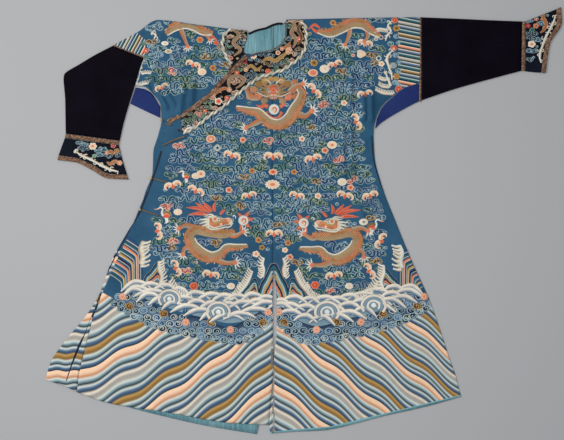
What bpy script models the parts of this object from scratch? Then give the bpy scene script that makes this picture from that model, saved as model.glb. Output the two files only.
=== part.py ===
"""A formal Chinese dragon robe, laid flat with its front up: panels, linings, sleeves, cuffs, collar and fastenings.

Left and right are the wearer's, so the left half lies at +X. Every table is in millimetres: `across` is measured from
the centre front seam, towards the wearer's left, and `drop` is measured down the robe from the shoulder line.
"""

import math
from typing import NamedTuple

import bmesh
import bpy
import numpy as np

MM = 0.001  # metres in a millimetre

# The centre of the laid robe, where the part's origin lies, in the tables' own millimetres.
ORIGIN_ACROSS = 101.5
ORIGIN_DROP = 698.6

# Cloth and layers, in millimetres.
SILK_WALL = 1.2        # outer silk with its embroidery and interlining
LINING_WALL = 1.0      # pongee lining
TRIM_WALL = 1.2        # collar, bindings and piping
GAP = 0.3              # between pieces that lie or are sewn together
LAYER = SILK_WALL + GAP

BACK_MID = SILK_WALL / 2
LINING_MID = SILK_WALL + GAP + LINING_WALL / 2
FRONT_MID = SILK_WALL + GAP + LINING_WALL + GAP + SILK_WALL / 2

# The overlap climbs over the under front's inner edge between these two distances from the centre seam.
LAP_FULL = -50.0
LAP_NONE = -10.0

# A folded edge turns down to the surface within this radius, as far as this height.
TURN_RADIUS = 5.0
TURN_LOW = 0.75
TURN_STEPS = (0.0, 0.3, 1.2, 2.8, 5.5)
FOLD_STARTS_OVER = 25.0  # length in which a side seam goes over into its fold
LAP_STEPS = (0.0, 10.0, 23.0, 36.0, 50.0)  # points across the overlap's climb, from the centre seam

SLEEVE_THICK = 5.0     # a sleeve pressed flat, outside to outside
CUFF_THICK = 4.6
PIPING_THICK = 4.4
BINDING_WIDE = 9.0
NECK_BINDING_WIDE = 3.4
BACK_BINDING_WIDE = 6.8
ROPE_WIDE = 11.0
ROPE_CROWN = 0.9       # how far the couched rope stands above its edges
STRAP_RADIUS = 1.7
BALL_RADIUS = 4.5
KNOT_RADIUS = 4.0


class Row(NamedTuple):
    """One line across a piece, from its first edge to its second, as (across, drop) pairs."""

    first: tuple
    second: tuple
    between: tuple = ()


class Edge(NamedTuple):
    """A piece's long edge: how far from it the first points lie, and the drop from which it folds under."""

    steps: tuple = (0.0,)
    folds_from: float = math.inf


class Fold(NamedTuple):
    """A soft ridge in the cloth, from one (across, drop) end to the other."""

    start: tuple
    end: tuple
    wide: float
    high: float


# Ridges at the wearer's right armpit, where the sleeve bends down.
ARMPIT_FOLDS = (
    Fold((-408, 225), (-388, 296), 24, 5.0),
    Fold((-296, 215), (-302, 256), 26, 3.0),
)

# Low ridges that the left front and the overlap keep as they lie.
FRONT_FOLDS = (
    Fold((314, 260), (314, 350), 26, 2.6),
    Fold((246, 390), (240, 530), 34, 1.8),
    Fold((-330, 560), (-470, 1230), 75, 2.2),
    Fold((-150, 640), (-215, 1330), 90, 2.6),
    Fold((150, 420), (190, 1330), 85, 2.4),
    Fold((330, 640), (430, 1230), 80, 2.0),
)

# Left back: from the centre back seam to the sleeve seam, the gusset and the side, and the vent below.
BACK_LEFT = (
    Row((2.5, 29), (496.5, 13.5), ((42.5, 20), (192, 18.5))),
    Row((2.5, 90), (496, 100.5)),
    Row((2.5, 151.5), (494.5, 229)),
    Row((2.5, 160), (488, 231.5)),
    Row((2.5, 219.5), (440.5, 247.5)),
    Row((2.5, 270.5), (405.5, 274.5)),
    Row((2.5, 321.5), (366.5, 311)),
    Row((2.5, 369), (348.5, 350)),
    Row((2.5, 412), (333.5, 388)),
    Row((2.5, 491.5), (337.5, 481)),
    Row((2.5, 576.5), (358.5, 569.5)),
    Row((2.5, 712.5), (414, 714)),
    Row((3.5, 838), (465, 838)),
    Row((11.5, 967.5), (522, 964)),
    Row((11.5, 1069.5), (559.5, 1069.5)),
    Row((4.5, 1161), (590, 1163)),
    Row((-2.5, 1273.5), (615.5, 1236)),
    Row((1.5, 1416), (631, 1297), ((158, 1411), (345, 1367.5), (532, 1325.5))),
)

# Right back: from the bent sleeve, the gusset and the side to the centre back seam; its hem hangs longest at the vent.
BACK_RIGHT = (
    Row((-530.5, 104.5), (1, 27.5), ((-460.5, 68), (-386, 27), (-233, 44), (-86.5, 59.5))),
    Row((-510, 112.5), (1, 76.5)),
    Row((-474.5, 126.5), (1, 110.5)),
    Row((-436, 142), (1, 144.5)),
    Row((-446.5, 190.5), (1, 185.5)),
    Row((-461.5, 240.5), (1, 239.5)),
    Row((-441.5, 241), (1, 280.5)),
    Row((-416, 259), (1, 321.5)),
    Row((-382, 309), (1, 362)),
    Row((-374, 353.5), (1, 403)),
    Row((-385, 406.5), (1, 443.5)),
    Row((-402, 464), (1, 484.5)),
    Row((-404.5, 532), (1, 539)),
    Row((-429, 600), (1, 600)),
    Row((-448, 664.5), (1, 664.5)),
    Row((-493.5, 743), (1, 743)),
    Row((-543, 831.5), (0.5, 838)),
    Row((-585.5, 947), (-4.4, 967.5)),
    Row((-626.5, 1015), (-4.1, 1028.5)),
    Row((-698.5, 1103.5), (-1.7, 1120.5)),
    Row((-744.5, 1174.5), (-8.5, 1212)),
    Row((-763.5, 1233), (-57, 1423), ((-644.5, 1273.5), (-522, 1322.5), (-386, 1359), (-222.5, 1395.5))),
)

# Left front with its upper sleeve: from the neck, the centre seam and the vent to the sleeve seam, gusset and side.
FRONT_LEFT = (
    Row((44, 14.5), (496.5, 6), ((260, 9.5),)),
    Row((47.5, 42.5), (497.5, 69.5), ((267, 59.5),)),
    Row((46.5, 73), (497.5, 134.5), ((267, 117.5),)),
    Row((34, 102.5), (496.5, 192), ((260, 165),)),
    Row((2.5, 125.5), (494.5, 229), ((243, 212.5),)),
    Row((2, 133), (488, 231.2), ((240, 216),)),
    Row((1, 202.5), (440, 247.5), ((219.5, 260),)),
    Row((1, 270.5), (405, 274.5), ((199, 301),)),
    Row((1, 328), (366, 310.5), ((178.5, 341.5),)),
    Row((1, 375.5), (348, 349.5), ((171.5, 379),)),
    Row((1, 423.5), (339.5, 396), ((168.5, 418),)),
    Row((1, 491.5), (343.5, 481), ((168.5, 484.5),)),
    Row((1, 576.5), (365, 569.5), ((182, 573),)),
    Row((1, 712.5), (420, 714), ((209, 715.5),)),
    Row((1.5, 838), (471, 838), ((236.5, 841.5),)),
    Row((11, 967.5), (528, 964), ((270.5, 974),)),
    Row((11, 1069.5), (566, 1069.5), ((287.5, 1083),)),
    Row((2.5, 1161), (596.5, 1163), ((301, 1178),)),
    Row((-4, 1273.5), (622, 1236), ((314.5, 1276.5),)),
    Row((-14.5, 1392.5), (632, 1278.5), ((192, 1374), (425, 1328))),
    Row((-10, 1420), (638, 1294.5), ((192, 1402), (430, 1345))),
)

# Overlap: from its slanted fastening edge and its gore seam to the centre seam and the vent.
FRONT_OVERLAP = (
    Row((-91, 131.5), (-1, 124)),
    Row((-136, 180), (-1, 171.5)),
    Row((-212.5, 258.5), (-1, 253.5)),
    Row((-280.5, 311), (-1, 314.5)),
    Row((-362, 361.5), (-1, 369)),
    Row((-364, 389.5), (-1, 403)),
    Row((-381.5, 457.5), (-1, 464)),
    Row((-400.5, 525.5), (-1, 532)),
    Row((-450.5, 644.5), (-1, 651)),
    Row((-493.5, 746.5), (-1, 753)),
    Row((-535.5, 838), (-0.5, 838)),
    Row((-589, 960.5), (-3.5, 967.5)),
    Row((-607, 1004.5), (-3, 1028.5)),
    Row((-624, 1072.5), (-1.7, 1103.5)),
    Row((-642.5, 1144), (1.2, 1164.5)),
    Row((-656, 1198.5), (-5, 1266.5)),
    Row((-668, 1279.5), (-16.5, 1390.5), ((-566, 1315), (-352, 1350), (-131, 1385.5))),
)

# Gore let into the overlap's outer edge, from its point down to the hem.
OVERLAP_GORE = (
    Row((-618.5, 1024), (-614.5, 1027)),
    Row((-636, 1072.5), (-626, 1072.5)),
    Row((-661.5, 1137.5), (-643.5, 1140.5)),
    Row((-686, 1195), (-658.5, 1198.5)),
    Row((-708, 1259.5), (-670, 1278)),
)

# Right front with its upper sleeve: it lies under the overlap and shows at the armpit and along the side.
FRONT_UNDER = (
    Row((-541.5, 100), (-97, 52.5), ((-464, 58.5), (-392.5, 16), (-250, 33))),
    Row((-516.5, 111), (-100.5, 76.5), ((-447, 83.5), (-379, 56), (-243, 69.5))),
    Row((-477, 126), (-102, 103.5), ((-420, 107), (-358.5, 93.5), (-233, 103.5))),
    Row((-438.5, 140.5), (-102, 131), ((-386, 137.5), (-331.5, 131), (-222.5, 137.5))),
    Row((-455, 190.5), (-93.5, 178.5), ((-392.5, 185.5), (-331.5, 182), (-216, 185.5))),
    Row((-469, 238.5), (-80, 226), ((-399.5, 233), (-324.5, 226), (-209, 233))),
    Row((-443, 239), (-69.5, 280.5)),
    Row((-417, 258), (-63, 321.5)),
    Row((-382.5, 308.5), (-59.5, 362)),
    Row((-380, 353.5), (-59.5, 403)),
    Row((-391.5, 406.5), (-59.5, 443.5)),
    Row((-408, 464), (-59.5, 484.5)),
    Row((-410.5, 532), (-59.5, 539)),
    Row((-435, 600), (-59.5, 600)),
    Row((-454, 664.5), (-59.5, 664.5)),
    Row((-500, 743), (-59.5, 743)),
    Row((-549, 831.5), (-59.5, 831.5)),
    Row((-591.5, 947), (-59.5, 947)),
    Row((-632.5, 1015), (-59.5, 1021.5)),
    Row((-705.5, 1103.5), (-59.5, 1123.5)),
    Row((-755, 1174.5), (-59.5, 1219)),
    Row((-775, 1237), (-59.5, 1377), ((-705.5, 1261.5), (-573, 1304), (-318, 1346.5))),
)

# Gussets: from the seam with the front to the fold along the underarm.
GUSSET_LEFT = (
    Row((494, 231.5), (494, 292.5)),
    Row((488, 233.2), (488, 295)),
    Row((441, 249.5), (443.5, 318)),
    Row((407, 276.5), (389.5, 349)),
    Row((369, 313), (360.5, 369.5)),
    Row((351.5, 350.5), (346, 384)),
)

GUSSET_RIGHT = (
    Row((-468.5, 245.5), (-487, 300)),
    Row((-444.5, 249), (-455.5, 315)),
    Row((-419, 261), (-420, 332)),
    Row((-385, 310.5), (-385, 348)),
)

# Lower sleeves: from the shoulder fold to the underarm edge, a row for each section along the arm.
SLEEVE_LEFT = (
    Row((503, 6.5), (503, 288.5)),
    Row((617, 11), (617, 250)),
    Row((736, 16.5), (736, 216.5)),
    Row((844, 20.5), (841.5, 188.5)),
)

SLEEVE_RIGHT = (
    Row((-546.5, 103.5), (-440.8, 145.2)),
    Row((-603.5, 133), (-452, 173.5)),
    Row((-658, 165.5), (-460.5, 202.5)),
    Row((-712, 202.5), (-469, 231)),
    Row((-713.5, 217.5), (-478.5, 262)),
    Row((-708, 287.5), (-490.5, 301.5)),
    Row((-707, 348.5), (-508.5, 364)),
    Row((-706, 401.5), (-522.5, 426)),
)

# Brocade piping in the seams between the upper and the lower sleeves.
SLEEVE_PIPING_LEFT = (
    Row((498.3, 6), (497.2, 294.5)),
    Row((502.3, 6.2), (502.3, 291)),
)

SLEEVE_PIPING_RIGHT = (
    Row((-542.5, 101), (-439, 141.5)),
    Row((-546, 103), (-440.5, 144.3)),
)

# Brocade bands between the sleeves and their cuffs.
CUFF_BAND_LEFT = (
    Row((845, 20.5), (842.5, 188.5)),
    Row((857.5, 20), (855, 189.5)),
)

CUFF_BAND_RIGHT = (
    Row((-706, 402.5), (-523, 427)),
    Row((-709, 416), (-525.5, 440.5)),
)

# Horse-hoof cuffs, flared towards the back of the hand, and the brocade bindings of their free edges.
CUFF_LEFT = (
    Row((858.5, 19.5), (856, 190), ((858.5, 76.5), (857, 134.5))),
    Row((909.5, -0.5), (882.5, 193), ((906, 63), (892.5, 124))),
    Row((960, -20.5), (908, 195), ((961.5, 20.5), (924, 96))),
)

CUFF_BINDING_LEFT = (
    Row((961, -21), (909, 195), ((962.5, 20.5), (925, 96.5))),
    Row((976, -28), (924, 196.5), ((979.5, 21.5), (938.5, 99))),
)

CUFF_RIGHT = (
    Row((-709, 417), (-525.5, 441.5), ((-663, 423.5), (-617, 429.5), (-573, 435))),
    Row((-720, 446.5), (-515, 484.5), ((-668, 454), (-610.5, 470), (-562.5, 484.5))),
    Row((-730.5, 475), (-498, 541), ((-671.5, 484), (-610.5, 510), (-557.5, 538))),
)

CUFF_BINDING_RIGHT = (
    Row((-731, 476), (-498, 542), ((-671.5, 485), (-610.5, 511), (-558, 539))),
    Row((-734.5, 491), (-492.5, 557.5), ((-673.5, 499), (-617, 525.5), (-562.5, 554))),
)

# Collar facing on the right shoulder, and the facing that runs from the left shoulder down the fastening edge.
COLLAR_NECK = (
    Row((-144.5, 47.5), (-89.5, 51.5)),
    Row((-170.5, 69.5), (-90, 74.5)),
    Row((-173.5, 100.5), (-98.5, 101.5)),
    Row((-164, 134.5), (-101, 124)),
    Row((-144, 170.5), (-103.5, 134.5)),
)

COLLAR_OVERLAP = (
    Row((42, 18.5), (93.5, 14.5)),
    Row((45, 46), (108.5, 41)),
    Row((44, 72.5), (111.5, 71.5)),
    Row((33, 97.5), (108, 107)),
    Row((16, 112.5), (93.5, 137.5)),
    Row((-5, 123.5), (65, 163)),
    Row((-33.5, 131), (27, 187.5)),
    Row((-61.5, 137.5), (-15.5, 200.5)),
    Row((-84.5, 146.5), (-52.5, 214.5)),
    Row((-128, 188), (-92, 243)),
    Row((-173.5, 235.5), (-137.5, 281)),
    Row((-210, 275.5), (-175, 314)),
    Row((-244.5, 302.5), (-218.5, 342.5)),
    Row((-289.5, 335.5), (-263.5, 378.5)),
    Row((-315, 351), (-307.5, 403)),
)

# Lines along which narrow trim is laid.
OVERLAP_BINDING_LINE = ((-92, 136.5), (-135.5, 180.5), (-182, 227.5), (-216.5, 267), (-250.5, 293.5), (-296, 327.5),
                        (-360.5, 360))
NECK_BINDING_LINE = ((38.5, 24), (41, 46), (40, 70.5), (29, 93.5), (12.5, 108), (-8, 118), (-36, 125), (-64.5, 130),
                     (-80, 133))
BACK_NECK_LINE = ((-84.5, 63), (-56, 51), (-25, 43.5), (-1.5, 33), (18.5, 28), (31, 28.5))
ROPE_NECK_LINE = ((-141, 48), (-158, 56), (-171, 75), (-173, 101), (-164, 133), (-148, 159.5), (-143, 168))
ROPE_OVERLAP_LINE = ((93.5, 18), (108.5, 41), (111.5, 71.5), (108, 107), (93.5, 137.5), (65, 163), (27, 187.5),
                     (-15.5, 200.5), (-52.5, 214.5), (-92, 243), (-137.5, 281), (-175, 314), (-218.5, 342.5),
                     (-263.5, 378.5), (-307.5, 403))


class Strap(NamedTuple):
    """A loop of rolled cloth: (across, drop, height of its middle) at its ends and middle."""

    name: str
    points: tuple


class Button(NamedTuple):
    """A ball or knot: its centre as (across, drop, height), its radius and its material."""

    name: str
    centre: tuple
    radius: float
    material: str


STRAPS = (
    Strap("loop_corner", ((-346, 371, 9.6), (-356, 372, 10.2), (-367, 366, 10.6))),
    Strap("loop_band_end", ((-302, 412, 9.6), (-338, 424, 9.2), (-376, 442, 9.0))),
    Strap("loop_side_upper", ((-362, 566, 9.8), (-384, 561, 9.8), (-408, 555, 9.6))),
    Strap("loop_side_lower", ((-392, 680, 9.8), (-416, 672, 9.8), (-445, 662, 9.6))),
)
BUTTONS = (
    Button("button_neck", (-98.5, 156.5, 13.0), KNOT_RADIUS, "dark_knot"),
    Button("button_corner", (-379, 356, 9.0), BALL_RADIUS, "brass"),
    Button("button_band_end", (-321, 391, 12.0), KNOT_RADIUS, "dark_knot"),
    Button("button_side_upper", (-415, 553.5, 12.4), BALL_RADIUS, "brass"),
    Button("button_side_lower", (-452, 660, 12.4), BALL_RADIUS, "brass"),
)

# Colour, roughness and metallic value of each material.
MATERIALS = {
    "robe_silk": ((0.035, 0.130, 0.230), 0.62, 0.0),
    "lining_silk": ((0.240, 0.480, 0.560), 0.50, 0.0),
    "gusset_silk": ((0.020, 0.045, 0.290), 0.55, 0.0),
    "sleeve_silk": ((0.010, 0.006, 0.018), 0.60, 0.0),
    "trim_black": ((0.010, 0.012, 0.030), 0.65, 0.0),
    "brocade": ((0.230, 0.120, 0.055), 0.55, 0.1),
    "rope_silk": ((0.720, 0.690, 0.560), 0.55, 0.0),
    "dark_knot": ((0.120, 0.015, 0.030), 0.60, 0.0),
    "brass": ((0.720, 0.480, 0.180), 0.32, 1.0),
}


def smooth_step(value, low, high):
    """Return 0 at low and 1 at high, with an eased rise between them."""
    t = np.clip((value - low) / (high - low), 0.0, 1.0)
    return t * t * (3.0 - 2.0 * t)


def eased_slopes(knots, values):
    """Slopes for a curve through the values that never swings past them."""
    step = np.diff(knots)[:, None]
    chord = np.diff(values, axis=0) / step
    slopes = np.empty_like(values)
    slopes[0] = chord[0]
    slopes[-1] = chord[-1]
    for i in range(1, len(values) - 1):
        before = chord[i - 1]
        after = chord[i]
        weight_after = 2 * step[i] + step[i - 1]
        weight_before = step[i] + 2 * step[i - 1]
        same_way = before * after > 0
        safe_before = np.where(same_way, before, 1.0)
        safe_after = np.where(same_way, after, 1.0)
        mean = (weight_after + weight_before) / (weight_after / safe_before + weight_before / safe_after)
        slopes[i] = np.where(same_way, mean, 0.0)
    return slopes


def curve_at(knots, values, wanted):
    """Read the smooth curve through (knots, values) at each wanted place."""
    slopes = eased_slopes(knots, values)
    span = np.clip(np.searchsorted(knots, wanted, side="right") - 1, 0, len(knots) - 2)
    width = (knots[span + 1] - knots[span])[:, None]
    t = ((wanted - knots[span]) / width[:, 0])[:, None]
    low, high = values[span], values[span + 1]
    return (
        (1 + 2 * t) * (1 - t) ** 2 * low
        + t * (1 - t) ** 2 * width * slopes[span]
        + t * t * (3 - 2 * t) * high
        + t * t * (t - 1) * width * slopes[span + 1]
    )


def lengths_along(points):
    """Distance of each point from the first, along the line through them."""
    steps = np.linalg.norm(np.diff(points, axis=0), axis=1)
    return np.concatenate([[0.0], np.cumsum(steps)])


def control_net(rows):
    """The rows' points as an array, each row read at as many points as the fullest one has."""
    count = 2 + max(len(row.between) for row in rows)
    net = []
    for row in rows:
        line = np.array([row.first, *row.between, row.second], float)
        if len(line) < count:
            along = lengths_along(line)
            line = curve_at(along, line, np.linspace(0, along[-1], count))
        net.append(line)
    return np.array(net)


def spaced(length, count, first, second):
    """Places along a length: each edge's own steps, and evenly spaced ones between them."""
    middle = np.linspace(first.steps[-1], length - second.steps[-1], count + 1)[1:-1]
    return np.concatenate([first.steps, middle, length - np.array(second.steps[::-1])])


def turned(height, distance, share=1.0):
    """Lower a height towards the surface, close to an edge that folds under there by the given share."""
    part = 1.0 - np.minimum(distance / TURN_RADIUS, 1.0)
    low = TURN_LOW + (height - TURN_LOW) * np.sqrt(1.0 - part * part)
    return height + (low - height) * share


def sheet_points(rows, per_row, across_count, first=Edge(), second=Edge(), folded_top=False):
    """Points of a piece as an array of lines, from the first edge to the second."""
    net = control_net(rows)
    gaps = np.linalg.norm(np.diff(net, axis=0), axis=2).mean(axis=1)
    knots = np.concatenate([[0.0], np.cumsum(gaps)])
    places = []
    for low, high in zip(knots[:-1], knots[1:]):
        places.extend(np.linspace(low, high, per_row, endpoint=False))
    places.append(knots[-1])
    if folded_top:
        places = list(TURN_STEPS) + [place for place in places if place > 2 * TURN_STEPS[-1]]
    flat = curve_at(knots, net.reshape(len(net), -1), np.array(places)).reshape(len(places), -1, 2)
    lines = []
    for line in flat:
        along = lengths_along(line)
        lines.append(curve_at(along, line, spaced(along[-1], across_count, first, second)))
    return np.array(lines)


def lifted(folds, across, drop):
    """How far the folds lift the cloth at a place."""
    lift = np.zeros(np.shape(across))
    for fold in folds:
        start = np.array(fold.start, float)
        run = np.array(fold.end, float) - start
        length = np.linalg.norm(run)
        run /= length
        along = (across - start[0]) * run[0] + (drop - start[1]) * run[1]
        aside = (across - start[0]) * run[1] - (drop - start[1]) * run[0]
        past = np.maximum(np.maximum(-along, along - length), 0.0)
        lift += fold.high * np.exp(-(aside**2 + past**2) / fold.wide**2)
    return lift


def under_height(across, drop):
    """Middle of the under front's wall, where it lies on the back's lining."""
    return FRONT_MID + lifted(ARMPIT_FOLDS, across, drop)


def front_height(across, drop):
    """Middle of the left front's wall, and of the overlap's, which climbs over the under front."""
    over = LAYER * smooth_step(-across, -LAP_NONE, -LAP_FULL)
    return FRONT_MID + lifted(FRONT_FOLDS, across, drop) + over


def back_height(across, drop):
    """Middle of a back's wall, flat on the surface."""
    return np.full(np.shape(across), BACK_MID)


def lining_height(across, drop):
    """Middle of a lining's wall, flat on its back."""
    return np.full(np.shape(across), LINING_MID)


def raised(height, layers):
    """The given height with more layers of cloth under the piece."""
    return lambda across, drop: height(across, drop) + layers * LAYER


def placed(across, drop, height):
    """A point of the tables in the part's own frame, in metres."""
    return ((across - ORIGIN_ACROSS) * MM, (ORIGIN_DROP - drop) * MM, height * MM)


def grid_object(name, points, material, wall=None, closed=False):
    """A grid whose vertices are moved to the points; it is rolled into a tube if closed, and given a wall."""
    lines, across_count = points.shape[:2]
    bm = bmesh.new()
    bmesh.ops.create_grid(bm, x_segments=across_count - 1, y_segments=lines - 1, size=1.0)
    for vert in bm.verts:
        column = round((vert.co.x + 1) / 2 * (across_count - 1))
        line = round((vert.co.y + 1) / 2 * (lines - 1))
        vert.co = placed(*points[line, column])
    if closed:
        bmesh.ops.remove_doubles(bm, verts=bm.verts, dist=1e-6)
    mesh = bpy.data.meshes.new(name)
    bm.to_mesh(mesh)
    bm.free()
    mesh.materials.append(material)
    mesh.shade_smooth()
    mesh.set_sharp_from_angle(angle=math.radians(50))
    piece = bpy.data.objects.new(name, mesh)
    if wall:
        solidify = piece.modifiers.new("wall", "SOLIDIFY")
        solidify.thickness = wall * MM
        solidify.offset = 0.0
        solidify.use_even_offset = True
    return piece


def panel(name, rows, height, material, wall=SILK_WALL, per_row=2, across_count=8, **edges):
    """A cut piece that lies at the given height, with the chosen edges folded down to the surface."""
    flat = sheet_points(rows, per_row, across_count, **edges)
    level = height(flat[..., 0], flat[..., 1])
    if edges.get("folded_top"):
        level = turned(level, np.linalg.norm(flat - flat[:1], axis=2))
    for side, column in (("first", 0), ("second", -1)):
        edge_line = flat[:, column][:, None]
        share = smooth_step(flat[..., 1] - edges.get(side, Edge()).folds_from, 0.0, FOLD_STARTS_OVER)
        level = turned(level, np.linalg.norm(flat - edge_line, axis=2), share)
    return grid_object(name, np.dstack([flat, level]), material, wall)


def strip(name, line, wide, height, material, wall=TRIM_WALL, crown=0.0, per_row=2):
    """A narrow band centred on a line, its middle raised by the crown."""
    path = np.array(line, float)
    knots = lengths_along(path)
    places = np.linspace(0, knots[-1], per_row * (len(path) - 1) + 1)
    centre = curve_at(knots, path, places)
    heading = np.gradient(centre, axis=0)
    heading /= np.linalg.norm(heading, axis=1)[:, None]
    side = np.stack([-heading[:, 1], heading[:, 0]], axis=1) * wide / 2
    flat = np.stack([centre - side, centre, centre + side], axis=1)
    level = height(flat[..., 0], flat[..., 1])
    level[:, 1] += crown
    return grid_object(name, np.dstack([flat, level]), material, wall)


def pressed_tube(name, rows, thick, material, per_row=2, face_count=7):
    """A sleeve or cuff pressed flat: a closed ring at each line, with round folds at both edges and open ends."""
    flat = sheet_points(rows, per_row, face_count * 2)
    radius = (thick - SILK_WALL) / 2
    inset = thick / 2
    low = SILK_WALL / 2
    rings = []
    for line in flat:
        along = lengths_along(line)
        face = np.linspace(inset, along[-1] - inset, face_count)
        under = curve_at(along, line, face)
        over = under[::-1]
        turn = np.radians((-60, -20, 20, 60))
        ends = []
        for edge, inward in ((under[-1], under[-2]), (under[0], under[1])):
            out = (edge - inward) / np.linalg.norm(edge - inward)
            ends.append([(*(edge + out * radius * math.cos(a)), low + radius * (1 + math.sin(a))) for a in turn])
        top = [(*point, low + 2 * radius) for point in over]
        bottom = [(*point, low) for point in under]
        rings.append(bottom + ends[0] + top + ends[1][::-1] + bottom[:1])
    return grid_object(name, np.array(rings), material, SILK_WALL, closed=True)


def folded_gusset(name, rows, material, per_row=2, face_count=3):
    """A gusset folded along the underarm, its upper half on the front's level and its lower half on the surface."""
    flat = sheet_points(rows, per_row, face_count)
    radius = (FRONT_MID - BACK_MID) / 2
    lines = []
    for line in flat:
        seam, fold = line[0], line[-1]
        out = (fold - seam) / np.linalg.norm(fold - seam)
        turn_start = fold - out * (radius + SILK_WALL / 2)
        face = [seam + (turn_start - seam) * share for share in np.linspace(0, 1, face_count + 1)]
        upper = [(*point, FRONT_MID) for point in face]
        lower = [(*point, BACK_MID) for point in face[::-1]]
        bend = np.radians((60, 20, -20, -60))
        turn = [(*(turn_start + out * radius * math.cos(a)), BACK_MID + radius * (1 + math.sin(a))) for a in bend]
        lines.append(upper + turn + lower)
    return grid_object(name, np.array(lines), material, SILK_WALL)


def strap_object(strap, material):
    """A rolled cloth loop as a curve with filled caps."""
    curve = bpy.data.curves.new(strap.name, "CURVE")
    curve.dimensions = "3D"
    curve.bevel_depth = STRAP_RADIUS * MM
    curve.bevel_resolution = 2
    curve.use_fill_caps = True
    path = np.array(strap.points, float)
    knots = lengths_along(path)
    route = curve_at(knots, path, np.linspace(0, knots[-1], 7))
    spline = curve.splines.new("POLY")
    spline.points.add(len(route) - 1)
    for point, place in zip(spline.points, route):
        point.co = (*placed(*place), 1.0)
    curve.materials.append(material)
    return bpy.data.objects.new(strap.name, curve)


def button_object(button, material):
    """A ball button or cloth knot."""
    bm = bmesh.new()
    bmesh.ops.create_uvsphere(bm, u_segments=12, v_segments=8, radius=button.radius * MM)
    mesh = bpy.data.meshes.new(button.name)
    bm.to_mesh(mesh)
    bm.free()
    mesh.materials.append(material)
    mesh.shade_smooth()
    piece = bpy.data.objects.new(button.name, mesh)
    piece.location = placed(*button.centre)
    return piece


def make_material(name, colour, roughness, metallic):
    """A plain Principled material."""
    material = bpy.data.materials.new(name)
    material.use_nodes = True
    shader = material.node_tree.nodes["Principled BSDF"]
    shader.inputs["Base Color"].default_value = (*colour, 1.0)
    shader.inputs["Roughness"].default_value = roughness
    shader.inputs["Metallic"].default_value = metallic
    return material


def body_pieces(made):
    """Backs, linings, fronts, overlap and gussets."""
    silk, lining, gusset = made["robe_silk"], made["lining_silk"], made["gusset_silk"]
    left_side = Edge(TURN_STEPS, folds_from=GUSSET_LEFT[-1].second[1])
    right_side = Edge(TURN_STEPS, folds_from=GUSSET_RIGHT[-1].second[1])
    return [
        panel("back_left", BACK_LEFT, back_height, silk, across_count=6),
        panel("back_right", BACK_RIGHT, back_height, silk, across_count=7, per_row=1),
        panel("lining_left", BACK_LEFT, lining_height, lining, LINING_WALL, per_row=1, across_count=5),
        panel("lining_right", BACK_RIGHT, lining_height, lining, LINING_WALL, per_row=1, across_count=6),
        panel("front_left", FRONT_LEFT, front_height, silk, across_count=9, second=left_side, folded_top=True),
        panel("front_under", FRONT_UNDER, under_height, silk, across_count=13, first=right_side, folded_top=True),
        panel("front_overlap", FRONT_OVERLAP, front_height, silk, across_count=7, second=Edge(LAP_STEPS)),
        panel("overlap_gore", OVERLAP_GORE, front_height, silk, across_count=3, per_row=3),
        folded_gusset("gusset_left", GUSSET_LEFT, gusset),
        folded_gusset("gusset_right", GUSSET_RIGHT, gusset),
    ]


def sleeve_pieces(made):
    """Lower sleeves, brocade bands, cuffs and cuff bindings."""
    silk, brocade, black = made["sleeve_silk"], made["brocade"], made["trim_black"]
    return [
        pressed_tube("sleeve_left", SLEEVE_LEFT, SLEEVE_THICK, silk, per_row=3),
        pressed_tube("sleeve_right", SLEEVE_RIGHT, SLEEVE_THICK, silk, per_row=1),
        pressed_tube("sleeve_piping_left", SLEEVE_PIPING_LEFT, PIPING_THICK, brocade, per_row=1),
        pressed_tube("sleeve_piping_right", SLEEVE_PIPING_RIGHT, PIPING_THICK, brocade, per_row=1),
        pressed_tube("cuff_band_left", CUFF_BAND_LEFT, SLEEVE_THICK, brocade, per_row=1),
        pressed_tube("cuff_band_right", CUFF_BAND_RIGHT, SLEEVE_THICK, brocade, per_row=1),
        pressed_tube("cuff_left", CUFF_LEFT, CUFF_THICK, black, face_count=9),
        pressed_tube("cuff_right", CUFF_RIGHT, CUFF_THICK, black, face_count=9),
        pressed_tube("cuff_binding_left", CUFF_BINDING_LEFT, CUFF_THICK, brocade, per_row=1, face_count=9),
        pressed_tube("cuff_binding_right", CUFF_BINDING_RIGHT, CUFF_THICK, brocade, per_row=1, face_count=9),
    ]


def collar_pieces(made):
    """Collar facings, their bindings and the couched rope along their outer edges."""
    black, brocade, rope = made["trim_black"], made["brocade"], made["rope_silk"]
    on_front = raised(front_height, 1)
    on_under = raised(under_height, 1)
    return [
        panel("collar_neck", COLLAR_NECK, on_under, black, TRIM_WALL, across_count=3),
        panel("collar_overlap", COLLAR_OVERLAP, on_front, black, TRIM_WALL, across_count=3),
        strip("overlap_binding", OVERLAP_BINDING_LINE, BINDING_WIDE, on_front, brocade),
        strip("neck_binding", NECK_BINDING_LINE, NECK_BINDING_WIDE, on_front, brocade),
        strip("back_neck_binding", BACK_NECK_LINE, BACK_BINDING_WIDE, raised(lining_height, 1), black),
        strip("rope_neck", ROPE_NECK_LINE, ROPE_WIDE, raised(under_height, 2), rope, crown=ROPE_CROWN),
        strip("rope_overlap", ROPE_OVERLAP_LINE, ROPE_WIDE, raised(front_height, 2), rope, crown=ROPE_CROWN),
    ]


def fastening_pieces(made):
    """Loops and buttons."""
    loops = [strap_object(strap, made["brocade"]) for strap in STRAPS]
    return loops + [button_object(button, made[button.material]) for button in BUTTONS]


def main():
    """Build the robe in its own collection."""
    for old in list(bpy.data.objects):
        bpy.data.objects.remove(old, do_unlink=True)
    made = {name: make_material(name, *values) for name, values in MATERIALS.items()}
    robe = bpy.data.collections.new("dragon_robe")
    bpy.context.scene.collection.children.link(robe)
    for piece in body_pieces(made) + sleeve_pieces(made) + collar_pieces(made) + fastening_pieces(made):
        robe.objects.link(piece)


main()
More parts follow.
